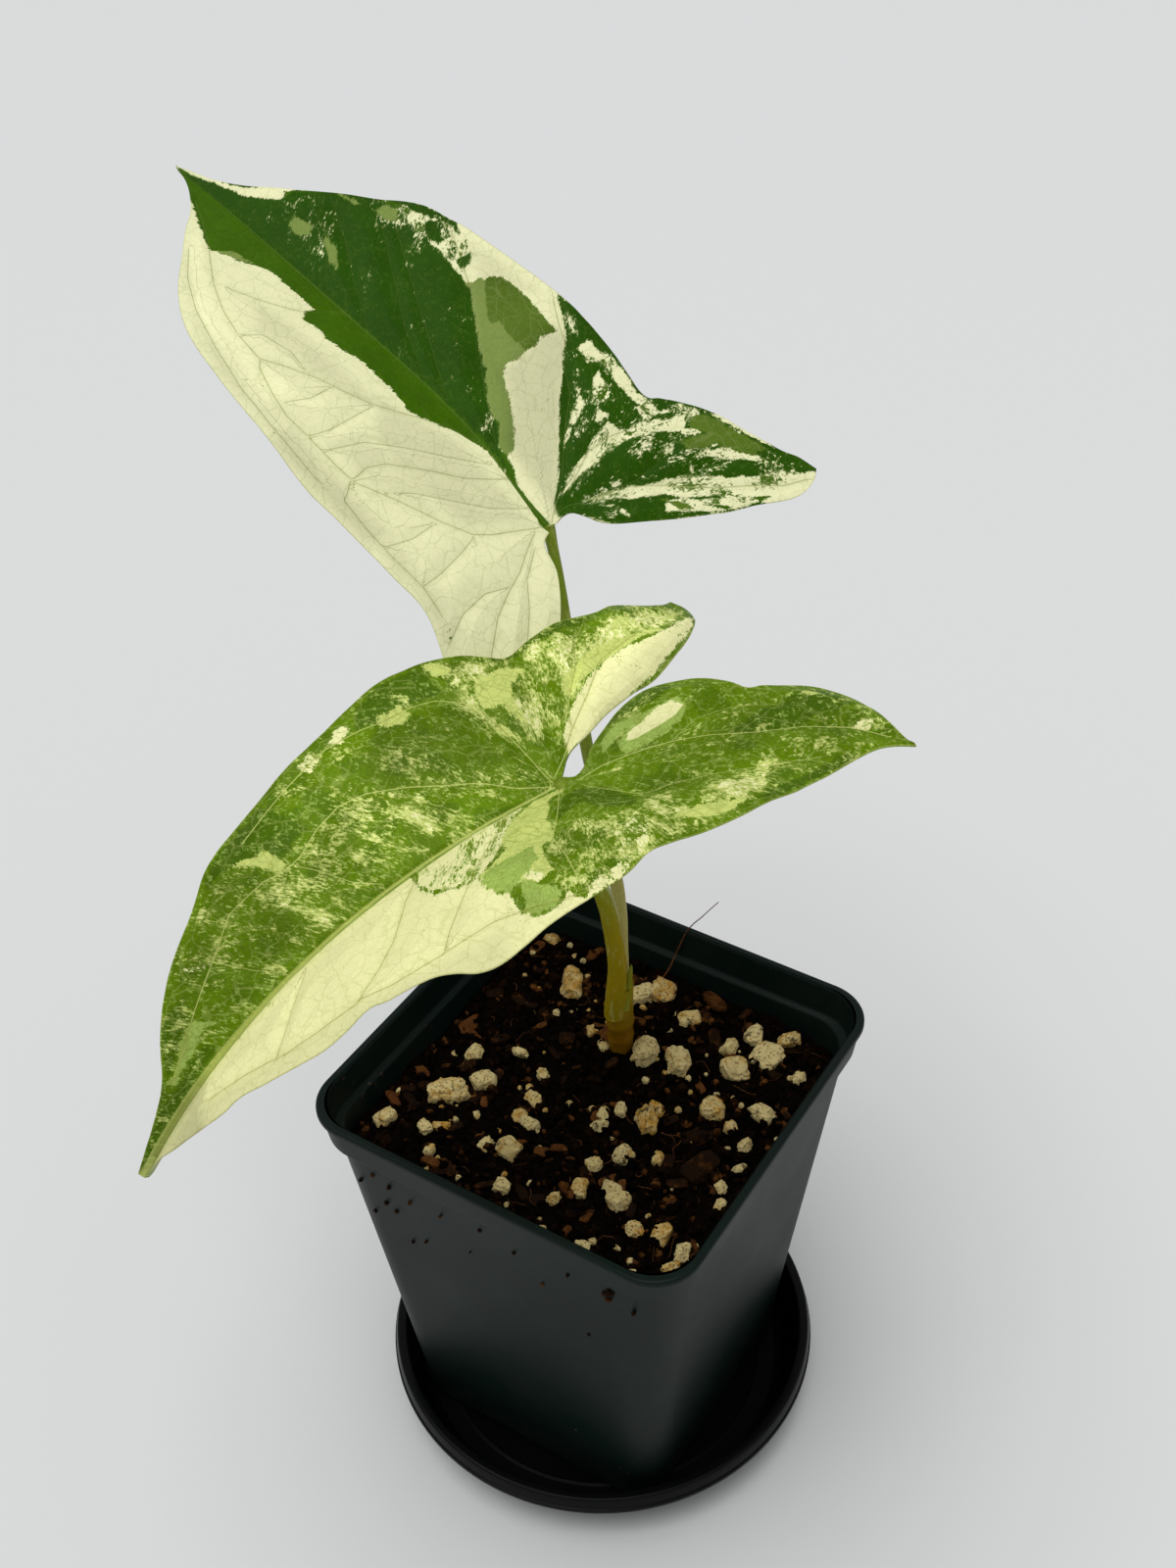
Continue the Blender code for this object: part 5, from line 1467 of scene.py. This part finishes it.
# Crown and stalks
def stalk_material(name, look, brown_level=0.100, green_level=0.150, foot=None):
    """Skin that turns brown under one level and green over another, with its own foot colour."""
    values = colours_of(look, SKIN_TONES)
    values |= {"Brown Level": brown_level, "Green Level": green_level, "Olive": foot or look.olive}
    return surface(name, skin_pattern, values, STALK_BUMP, STALK_SPECULAR)


def round_places(rings, radius_mm):
    """Coordinates on a round skin: round it as a circle, and along it in millimetres."""
    count, sides = rings.shape[:2]
    turn = np.arange(sides) * 2 * math.pi / sides
    middles = rings.mean(1)
    run = np.concatenate([[0], np.cumsum(np.linalg.norm(np.diff(middles, axis=0), axis=1))])
    x = np.broadcast_to(radius_mm * np.cos(turn), (count, sides))
    y = np.broadcast_to(radius_mm * np.sin(turn), (count, sides))
    z = np.broadcast_to(run[:, None] / MM, (count, sides))
    places = np.stack([x, y, z], -1).reshape(-1, 3)
    caps = np.array([[0, 0, 0], [0, 0, run[-1] / MM]])
    return np.concatenate([places, caps])


def new_skin(name, rings, radius_mm, material, nodes=()):
    """A piece of the plant whose closed skin runs over rings."""
    points, faces = skin(rings)
    attributes = {"stalk_place": round_places(rings, radius_mm)}
    return new_piece(name, points, faces, material, nodes, attributes)


def make_petiole(name, leaf, route, radii, node, material):
    """A stalk carried along its route to the blade, wider at its foot and at its neck."""
    end = blade_place(leaf, 0.0, 0.0, -STALK_NECK_DEPTH)
    start = np.array(route[0]) + (np.array(route[0]) - np.array(route[1])) * STALK_FOOT_SHARE
    path = smooth_curve([start, *route, end], 150)
    part = np.linspace(0, 1, len(path))
    radius = radii[1] + (radii[0] - radii[1]) * (1 - part**2)
    for place, reach, swell in STALK_SWELLS:
        radius = radius * (1 + swell * bell(part - place, reach))
    rings = tube(path, radius, 24)
    centre = rings.mean(1, keepdims=True)
    uneven = fractal(rings.reshape(-1, 3), 0.006, 2, 5).reshape(*rings.shape[:2], 1)
    rings = centre + (rings - centre) * (1 + STALK_UNEVEN * uneven)
    return new_skin(name, rings, STALK_ROUND_MM, material, [node])


class ARROWHEAD_OT_stalks(bpy.types.Operator):
    """Build both leaf stalks"""

    bl_idname = "arrowhead.stalks"
    bl_label = "Leaf stalks"

    def execute(self, context):
        look = context.scene.arrowhead_stalks
        material = stalk_material("stalk_skin", look)
        make_petiole("lower_petiole", LOWER_LEAF, LOWER_STALK, LOWER_STALK_RADII,
                     "lower_stalk", material)
        material = stalk_material("upper_stalk_skin", look, foot=look.upper_foot)
        make_petiole("upper_petiole", UPPER_LEAF, UPPER_STALK, UPPER_STALK_RADII,
                     "upper_stalk", material)
        return {"FINISHED"}


class ARROWHEAD_OT_crown(bpy.types.Operator):
    """Build the short crown with its joint rings and bud"""

    bl_idname = "arrowhead.crown"
    bl_label = "Crown"

    def execute(self, context):
        look = context.scene.arrowhead_stalks
        material = stalk_material("crown_skin", look, brown_level=0.104, green_level=0.170)
        height = np.linspace(STEM_FOOT_LEVEL, STEM_TOP_LEVEL + STEM_TOP_RISE, 90)[:, None]
        part = (height - STEM_FOOT_LEVEL) / (STEM_TOP_LEVEL - STEM_FOOT_LEVEL)
        above = (height - STEM_FLARE_LEVEL) / (STEM_TOP_LEVEL - STEM_FLARE_LEVEL)
        above = np.clip(above, 0, 1) ** 0.7
        swell = 1 + sum(size * bell(height - level, high) for level, high, size in STEM_RINGS)
        half = (STEM_FOOT_RADIUS * (1 - above) + np.array(STEM_TOP_HALVES) * above) * swell
        centre = np.array(STEM_BASE) * (1 - part) + np.array(STEM_TOP) * part
        turn = np.arange(48) * 2 * math.pi / 48
        x = centre[:, :1] + half[:, :1] * np.cos(turn)
        y = centre[:, 1:] + half[:, 1:] * np.sin(turn)
        rings = np.stack([x, y, np.broadcast_to(height, x.shape)], -1)
        new_skin("crown_shoot", rings, STEM_ROUND_MM, material, ["stem"])
        part = np.linspace(0, 1, 24)
        path = np.array(BUD_FOOT) * (1 - part[:, None]) + np.array(BUD_TIP) * part[:, None]
        radius = BUD_RADIUS * np.sqrt(np.clip(1 - part**3, 0, 1)) * (1.1 - 0.3 * part)
        rings = tube(path, np.maximum(radius, BUD_TIP_RADIUS), 20)
        material = stalk_material("bud_skin", look, brown_level=0.090, green_level=0.115)
        new_skin("side_bud", rings, STALK_ROUND_MM, material)
        return {"FINISHED"}


# Pot and saucer
def body_half(height):
    """Outer half width of the pot's tapered body, under the collar, at a height."""
    part = (height - POT_FOOT) / (POT_TOP - POT_COLLAR_HEIGHT - POT_FOOT)
    return POT_FOOT_HALF + part * (POT_BODY_HALF - POT_FOOT_HALF)


def corner_at(height):
    """Radius of the pot's upright corners at a height."""
    part = (height - POT_FOOT) / (POT_TOP - POT_FOOT)
    return POT_FOOT_CORNER + part * (POT_TOP_CORNER - POT_FOOT_CORNER)


def plastic(name, tone, dust, paint, specular):
    values = {"Plastic": tone, "Dust": dust} | paint
    return surface(name, plastic_pattern, values, PLASTIC_BUMP, specular)


class ARROWHEAD_OT_pot(bpy.types.Operator):
    """Build the square pot with its collar, rolled lip and drain holes"""

    bl_idname = "arrowhead.pot"
    bl_label = "Pot"

    def execute(self, context):
        look = context.scene.arrowhead_pot
        ledge = POT_TOP - POT_COLLAR_HEIGHT
        lip_low = POT_TOP - POT_LIP_HEIGHT
        floor = POT_FOOT + POT_FLOOR
        half = POT_TOP_HALF
        foot_inside = POT_FOOT_HALF - POT_WALL
        # Half width, level and radius of the arc at each corner of the profile.
        outside = rounded((
            (POT_FOOT_HALF - 0.006, POT_FOOT, 0), (POT_FOOT_HALF, POT_FOOT, 0.0022),
            (body_half(ledge * 0.35), ledge * 0.35, 0.001),
            (body_half(ledge * 0.7), ledge * 0.7, 0.001),
            (body_half(ledge), ledge, 0.0006), (POT_COLLAR_HALF, ledge, 0.0007),
            (half - POT_LIP_OVERHANG, lip_low, 0.0004), (half, lip_low, 0.0004),
            (half, POT_TOP, 0.0007), (half - POT_WALL - 0.0004, POT_TOP, 0),
        ))
        inside = rounded((
            (half - POT_WALL - 0.0003, POT_TOP, 0),
            (half - POT_WALL - 0.0007, POT_TOP - 0.0005, 0.0005),
            (POT_COLLAR_HALF - POT_WALL, ledge + POT_WALL, 0.0008),
            (body_half(ledge) - POT_WALL, ledge + POT_WALL - 0.0006, 0.0006),
            (foot_inside, floor, 0.002), (foot_inside - 0.004, floor, 0),
        ))
        rings = [round_square(wide, corner_at(high), high) for wide, high in outside]
        rings += [
            round_square(wide, corner_at(high) - POT_WALL * 0.8, high) for wide, high in inside
        ]
        points, faces = skin(rings)
        paint = {"Specks": 0.80, "Haze": 0.06, "Dullness": 0.46}
        material = plastic("pot_plastic", look.charcoal, look.dust, paint, specular=0.11)
        pot = new_piece("pot_shell", points, faces, material, ["pot"], sharp=50)
        cut_drains(pot)
        return {"FINISHED"}


def cut_drains(pot):
    """Four round holes through the pot's floor."""
    for x, y in ((1, 1), (-1, 1), (-1, -1), (1, -1)):
        rings = turned(np.array([
            (DRAIN_RADIUS, POT_FOOT - POT_FLOOR), (DRAIN_RADIUS, POT_FOOT + 2 * POT_FLOOR),
        ]), DRAIN_SIDES)
        rings = rings + np.array([x * DRAIN_OFFSET, y * DRAIN_OFFSET, 0])
        points, faces = skin(rings)
        cutter = mesh_object("drain_cutter", points, faces)
        cut = pot.modifiers.new("drain", "BOOLEAN")
        cut.operation = "DIFFERENCE"
        cut.solver = "EXACT"
        cut.object = cutter
        bpy.context.view_layer.update()
        seen = pot.evaluated_get(bpy.context.evaluated_depsgraph_get())
        pot.data = bpy.data.meshes.new_from_object(seen)
        pot.modifiers.clear()
        bpy.data.objects.remove(cutter, do_unlink=True)


class ARROWHEAD_OT_saucer(bpy.types.Operator):
    """Build the round saucer with its leaning rim band"""

    bl_idname = "arrowhead.saucer"
    bl_label = "Saucer"

    def execute(self, context):
        look = context.scene.arrowhead_pot
        lip, top = SAUCER_RIM_RADIUS, SAUCER_HEIGHT
        band = top - SAUCER_RIM_BAND
        outer_top = lip - SAUCER_RIM_LEAN
        inner_top = outer_top - SAUCER_RIM_WIDTH
        foot_inside = SAUCER_FOOT_RADIUS - SAUCER_WALL
        # Radius, level and radius of the arc at each corner of the profile.
        profile = rounded((
            (0.002, 0.0, 0), (SAUCER_FOOT_RADIUS - 0.0080, 0.0, 0.0003),
            (SAUCER_FOOT_RADIUS, 0.0, 0.0008), (lip - 0.0022, band - 0.0004, 0.0006),
            (lip - 0.0001, band - 0.0002, 0.0005), (lip - 0.0001, band + 0.0010, 0.0003),
            (lip - 0.0003 - SAUCER_GROOVE, band + 0.0013, 0.0003),
            (lip - 0.0004, band + 0.0017, 0.0003), (outer_top, top, 0.0007),
            (inner_top, top, 0.0006), (foot_inside + 0.0012, SAUCER_FLOOR + 0.0012, 0.0012),
            (foot_inside - 0.0006, SAUCER_FLOOR, 0.0010),
            (foot_inside - 0.0045, SAUCER_FLOOR, 0.0003),
            (foot_inside - 0.0049, SAUCER_FLOOR + 0.0004, 0.0003),
            (foot_inside - 0.0053, SAUCER_FLOOR, 0.0003),
            (0.002, SAUCER_FLOOR, 0),
        ), 6)
        points, faces = skin(turned(profile, SAUCER_SIDES))
        paint = {"Specks": 0.16, "Haze": 0.006, "Dullness": 0.32}
        material = plastic("saucer_plastic", look.black, look.dust, paint, specular=0.09)
        new_piece("saucer_dish", points, faces, material, ["saucer"], sharp=60)
        return {"FINISHED"}


# Potting mix
def mix_level(x, y):
    """Level of the mix: a low mound, swells, lumps and crumbs, and a low ring round the crown."""
    reach = np.hypot(x - STEM_BASE[0], y - STEM_BASE[1])
    near = np.clip(reach / POT_BODY_HALF, 0, 1)
    level = MIX_MIDDLE_LEVEL + (MIX_EDGE_LEVEL - MIX_MIDDLE_LEVEL) * near
    at = np.stack([x, y, np.zeros_like(x)], -1)
    broad = fractal(at, 0.011, 2, 41)
    lumpy = 1 - np.abs(fractal(at, 0.0042, 3, 51, 0.55))
    crumbly = 1 - np.abs(fractal(at, 0.0013, 3, 61, 0.6))
    level = level + MIX_SWELL_HEIGHT * broad + MIX_LUMP_HEIGHT * (lumpy - 0.75)
    level = level + MIX_CRUMB_HEIGHT * (crumbly - 0.72)
    return level + MIX_RING_HEIGHT * bell(reach - MIX_RING_RADIUS, MIX_RING_WIDTH)


def mix_materials(look):
    """The mix's own material, and those of its loose pieces."""
    base = {"Dark": look.dark, "Brown": look.brown, "Rust": look.bark}
    bark = {"Dark": look.brown, "Brown": look.bark, "Rust": look.fibre}
    roots = {"Dark": look.bark, "Brown": look.fibre, "Rust": look.fibre}
    stones = {"Pumice": look.pumice, "Stain": look.stain, "Mix": look.brown}
    # The last two numbers are the height of the bumps and the specular level.
    return {
        "mix": surface("mix_surface", mix_pattern, base | {"Rust Share": 0.26}, 0.0006, 0.03),
        "crumb": surface("mix_crumb", mix_pattern, base | {"Rust Share": 0.32}, 0.0003, 0.03),
        "bark": surface("bark_chip", mix_pattern, bark | {"Rust Share": 0.34}, 0.0003, 0.05),
        "fibre": surface("root_fibre", mix_pattern, roots | {"Rust Share": 0.40}, 0.0001, 0.2),
        "pumice": surface("pumice", pumice_pattern, stones, 0.0004, 0.08),
    }


def add_lumps(name, made, tints, material, sharp=28):
    """A loose piece of many lumps, each with a tint of its own."""
    points, faces, every = made
    tint = {"tint": tints[every]}
    new_piece(name, points, faces, material, (), tint, sharp)


def on_mix(places, rise):
    """Places on the mix with their level, raised by this much."""
    return np.column_stack([places, mix_level(places[:, 0], places[:, 1]) + rise])


def scattered(draw, count, inset):
    """Random places on the mix."""
    return draw.uniform(-MIX_HALF + inset, MIX_HALF - inset, (count, 2))


class ARROWHEAD_OT_potting_mix(bpy.types.Operator):
    """Build the potting mix, its crumbs, bark, fibres and pumice"""

    bl_idname = "arrowhead.potting_mix"
    bl_label = "Potting mix"

    def execute(self, context):
        look = context.scene.arrowhead_mix
        materials = mix_materials(look)
        make_mix_body(materials["mix"])
        make_crumbs(look, materials["crumb"])
        make_bark(look, materials["bark"])
        make_pumice(look, materials["pumice"])
        make_fibres(look, materials["fibre"])
        make_clinging_crumbs(materials["bark"])
        return {"FINISHED"}


def make_mix_body(material):
    """A closed block: a square sheet of heights with its corners drawn in, a wall and a floor.

    A corner is drawn in by a high power of both coordinates, so the sides stay straight.
    """
    count = MIX_SHEET_COUNT
    steps = np.linspace(-1, 1, count)
    u, v = np.meshgrid(steps, steps, indexing="ij")
    drawn = 1 - MIX_CORNER_DRAW * (np.abs(u) * np.abs(v)) ** 12
    x, y = MIX_HALF * u * drawn, MIX_HALF * v * drawn
    z = mix_level(x.ravel(), y.ravel()).reshape(x.shape)
    sheet = np.stack([x, y, z], -1).reshape(-1, 3)
    index = np.arange(count * count).reshape(count, count)
    faces = grid_faces(index).tolist()
    loop = np.concatenate([index[:-1, 0], index[-1, :-1], index[:0:-1, -1], index[0, :0:-1]])
    low = POT_FOOT + POT_FLOOR + GAP
    rings = [sheet[loop]]
    for level in (*MIX_WALL_LEVELS, low + MIX_FOOT_RISE, low):
        ring = sheet[loop].copy()
        ring[:, :2] *= (body_half(level) - POT_WALL) / MIX_HALF
        ring[:, :2] *= MIX_FOOT_SHARE if level == low else 1.0
        ring[:, 2] = level
        rings.append(ring)
    points = np.concatenate([sheet, *rings[1:], [[0, 0, low]]])
    sides = len(loop)
    walls = [loop]
    walls += [len(sheet) + ring * sides + np.arange(sides) for ring in range(len(rings) - 1)]
    for upper, under in zip(walls, walls[1:]):
        after, below = np.roll(upper, -1), np.roll(under, -1)
        faces += np.stack([upper, under, below, after], -1).tolist()
    last = walls[-1]
    middle = np.full(sides, len(points) - 1)
    faces += np.stack([last, middle, np.roll(last, -1)], -1).tolist()
    tint = {"tint": np.zeros(len(points))}
    new_piece("mix_body", points, faces, material, ["potting_mix"], tint)


def make_crumbs(look, material):
    """Angular crumbs strewn over the mix, half sunk in it."""
    draw = np.random.default_rng(CRUMB_SEED)
    count = look.crumb_count
    places = scattered(draw, count, 0.0012)
    size = draw.uniform(0.35, 1.25, count) ** 1.5 * MM * 0.85
    sizes = size[:, None] * draw.uniform(0.55, 1.35, (count, 3))
    centres = on_mix(places, size * 0.35)
    turns = random_turns(draw, count)
    made = lumps(centres, sizes, turns, detail=1, rough=0.35, seed=71, square=0.8)
    add_lumps("mix_crumbs", made, draw.uniform(-0.25, 0.30, count), material)


def make_bark(look, material):
    """Flat chips of bark lying on the mix."""
    draw = np.random.default_rng(BARK_SEED)
    large = np.array(LARGE_BARK_MM)
    count = look.bark_count
    places = np.concatenate([large[:, :2] * MM, scattered(draw, count, 0.003)])
    size = np.concatenate([large[:, 2] * MM / 2, draw.uniform(0.8, 2.5, count) * MM])
    ratio = draw.uniform((0.8, 0.35, 0.14), (1.1, 0.62, 0.30), (len(size), 3))
    centres = on_mix(places, size * 0.22)
    turns = tilts(draw, len(size), 0.30)
    made = lumps(centres, size[:, None] * ratio, turns, detail=3, rough=0.30, seed=81, square=0.55)
    add_lumps("bark_chips", made, draw.uniform(-0.2, 0.35, len(size)), material)


def make_pumice(look, material):
    """The larger pumice grains at their places, and small grit strewn between them."""
    draw = np.random.default_rng(GRAIN_SEED)
    known = np.array(GRAINS_MM) * MM
    ratio = draw.uniform((0.46, 0.34, 0.32), (0.68, 0.54, 0.46), (len(known), 3))
    centres = on_mix(known[:, :2], known[:, 2] * 0.14)
    turns = tilts(draw, len(known), 0.5)
    sizes = known[:, 2:] * ratio
    made = lumps(centres, sizes, turns, detail=4, rough=0.50, seed=91, square=0.68)
    add_lumps("pumice_grains", made, draw.uniform(-0.40, 0.46, len(known)), material)
    count = look.grit_count
    places = scattered(draw, count, 0.002)
    size = draw.uniform(0.4, 1.0, count) * MM
    sizes = size[:, None] * draw.uniform(0.7, 1.1, (count, 3))
    centres = on_mix(places, size * 0.3)
    turns = random_turns(draw, count)
    made = lumps(centres, sizes, turns, detail=2, rough=0.4, seed=95, square=0.75)
    add_lumps("pumice_grit", made, draw.uniform(-0.2, 0.5, count), material)


def make_fibres(look, material):
    """Thin roots and coir fibres that curl over the mix, and one root that leaves the pot."""
    draw = np.random.default_rng(FIBRE_SEED)
    points, faces, total = [], [], 0
    part = np.linspace(0, 1, 14)
    for place in scattered(draw, look.fibre_count, 0.005):
        reach = draw.uniform(2.0, 7.5) * MM
        heading = draw.uniform(0, 2 * math.pi)
        bend = heading + draw.normal(0, 1.4) * part + 0.5 * np.sin(part * draw.uniform(3, 9))
        step = reach / len(part) * np.stack([np.cos(bend), np.sin(bend)], -1)
        flat = place + np.cumsum(step, axis=0)
        flat = np.clip(flat, -MIX_HALF + 0.001, MIX_HALF - 0.001)
        arch = draw.uniform(0.2, 1.3) * MM * np.sin(part * math.pi)
        path = on_mix(flat, arch)
        radius = draw.uniform(0.05, 0.13) * MM * (1 - 0.5 * part)
        found, quads = skin(tube(path, radius, 5))
        points.append(found)
        faces += [[corner + total for corner in face] for face in quads]
        total += len(found)
    tint = {"tint": np.full(total, FIBRE_TINT)}
    new_piece("root_fibres", np.concatenate(points), faces, material, (), tint)
    path = smooth_curve(RIM_ROOT, 60)
    part = np.linspace(0, 1, 60)
    found, quads = skin(tube(path, RIM_ROOT_RADIUS * (1 - 0.55 * part), 8))
    tint = {"tint": np.full(len(found), FIBRE_TINT)}
    new_piece("rim_root", found, quads, material, (), tint)


def make_clinging_crumbs(material):
    """Crumbs of mix that cling to the front face of the pot's body."""
    draw = np.random.default_rng(CLINGING_SEED)
    spots = np.array(CLINGING_MM) * MM
    count = len(spots)
    half = body_half(spots[:, 1])
    centres = np.column_stack([spots[:, 0], -half - 0.0001, spots[:, 1]])
    sizes = spots[:, 2:] * draw.uniform(0.35, 0.65, (count, 3))
    turns = random_turns(draw, count)
    made = lumps(centres, sizes, turns, detail=2, rough=0.5, seed=101, square=0.8)
    add_lumps("clinging_crumbs", made, draw.uniform(-0.2, 0.2, count), material, sharp=None)


# Stage
def floor_surface():
    """The corners and the one face of a wide square floor."""
    corners = np.array([(-1, -1, 0), (1, -1, 0), (1, 1, 0), (-1, 1, 0)]) * FLOOR_HALF
    return corners, [(0, 1, 2, 3)]


class ARROWHEAD_OT_stage(bpy.types.Operator):
    """Build the floor, the light and the camera"""

    bl_idname = "arrowhead.stage"
    bl_label = "Stage"

    def execute(self, context):
        look = context.scene.arrowhead_stage
        floor = mesh_object("stage_floor", *floor_surface())
        paint = bpy.data.materials.new("stage_floor")
        paint.use_nodes = True
        shader = paint.node_tree.nodes["Principled BSDF"]
        shader.inputs["Base Color"].default_value = (*look.floor, 1.0)
        shader.inputs["Roughness"].default_value = FLOOR_ROUGHNESS
        shader.inputs["Specular IOR Level"].default_value = FLOOR_SPECULAR
        floor.data.materials.append(paint)
        self.add_light(context, look)
        self.add_camera(context)
        context.scene.view_settings.view_transform = "Standard"
        return {"FINISHED"}

    def add_light(self, context, look):
        world = bpy.data.worlds.new("studio")
        world.use_nodes = True
        sky = world.node_tree.nodes["Background"]
        sky.inputs["Color"].default_value = (*look.sky, 1.0)
        sky.inputs["Strength"].default_value = look.sky_strength
        context.scene.world = world
        lamp = bpy.data.lights.new("overhead", "SUN")
        lamp.angle = math.radians(LAMP_ANGLE)
        lamp.energy = look.lamp_strength
        overhead = bpy.data.objects.new("overhead", lamp)
        context.scene.collection.objects.link(overhead)
        overhead.location = LAMP_PLACE
        overhead.rotation_euler = [math.radians(angle) for angle in LAMP_TURN]

    def add_camera(self, context):
        data = bpy.data.cameras.new("camera")
        data.sensor_fit = "VERTICAL"
        data.sensor_height = CAMERA_SENSOR_MM
        data.lens = CAMERA_SENSOR_MM * CAMERA_FOCAL_SHARE
        data.clip_start = CAMERA_NEAR
        camera = bpy.data.objects.new("camera", data)
        context.scene.collection.objects.link(camera)
        placed = np.eye(4)
        placed[:3, :3] = np.array([CAMERA_RIGHT, CAMERA_UP, CAMERA_BACK]).T
        placed[:3, 3] = CAMERA_PLACE
        camera.matrix_world = Matrix(placed.tolist())
        context.scene.camera = camera


STEPS = (
    ARROWHEAD_OT_stage,
    ARROWHEAD_OT_saucer,
    ARROWHEAD_OT_pot,
    ARROWHEAD_OT_potting_mix,
    ARROWHEAD_OT_crown,
    ARROWHEAD_OT_stalks,
    ARROWHEAD_OT_lower_leaf,
    ARROWHEAD_OT_upper_leaf,
)
LOOKS = {
    "arrowhead_lower_leaf": LowerLeafLook,
    "arrowhead_upper_leaf": UpperLeafLook,
    "arrowhead_stalks": StalkLook,
    "arrowhead_pot": PotLook,
    "arrowhead_mix": MixLook,
    "arrowhead_stage": StageLook,
}


class ARROWHEAD_PT_plant(bpy.types.Panel):
    """Lists the plant's pieces and their looks"""

    bl_idname = "ARROWHEAD_PT_plant"
    bl_label = "Arrowhead plant"
    bl_space_type = "VIEW_3D"
    bl_region_type = "UI"
    bl_category = "Arrowhead plant"

    def draw(self, context):
        for step in STEPS:
            self.layout.operator(step.bl_idname)
        for title, group in LOOKS.items():
            box = self.layout.box()
            box.label(text=title.replace("_", " "))
            look = getattr(context.scene, title)
            for key in group.bl_rna.properties.keys():
                if key not in {"rna_type", "name"}:
                    box.prop(look, key)


def register():
    for title, group in LOOKS.items():
        bpy.utils.register_class(group)
        setattr(bpy.types.Scene, title, bpy.props.PointerProperty(type=group))
    for made in (*STEPS, ARROWHEAD_PT_plant):
        bpy.utils.register_class(made)


def unregister():
    for made in (ARROWHEAD_PT_plant, *reversed(STEPS)):
        bpy.utils.unregister_class(made)
    for title, group in LOOKS.items():
        delattr(bpy.types.Scene, title)
        bpy.utils.unregister_class(group)


def main():
    """Registers the add-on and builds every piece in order."""
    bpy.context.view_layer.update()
    register()
    for step in STEPS:
        group, action = step.bl_idname.split(".")
        getattr(getattr(bpy.ops, group), action)()


if __name__ == "__main__":
    main()
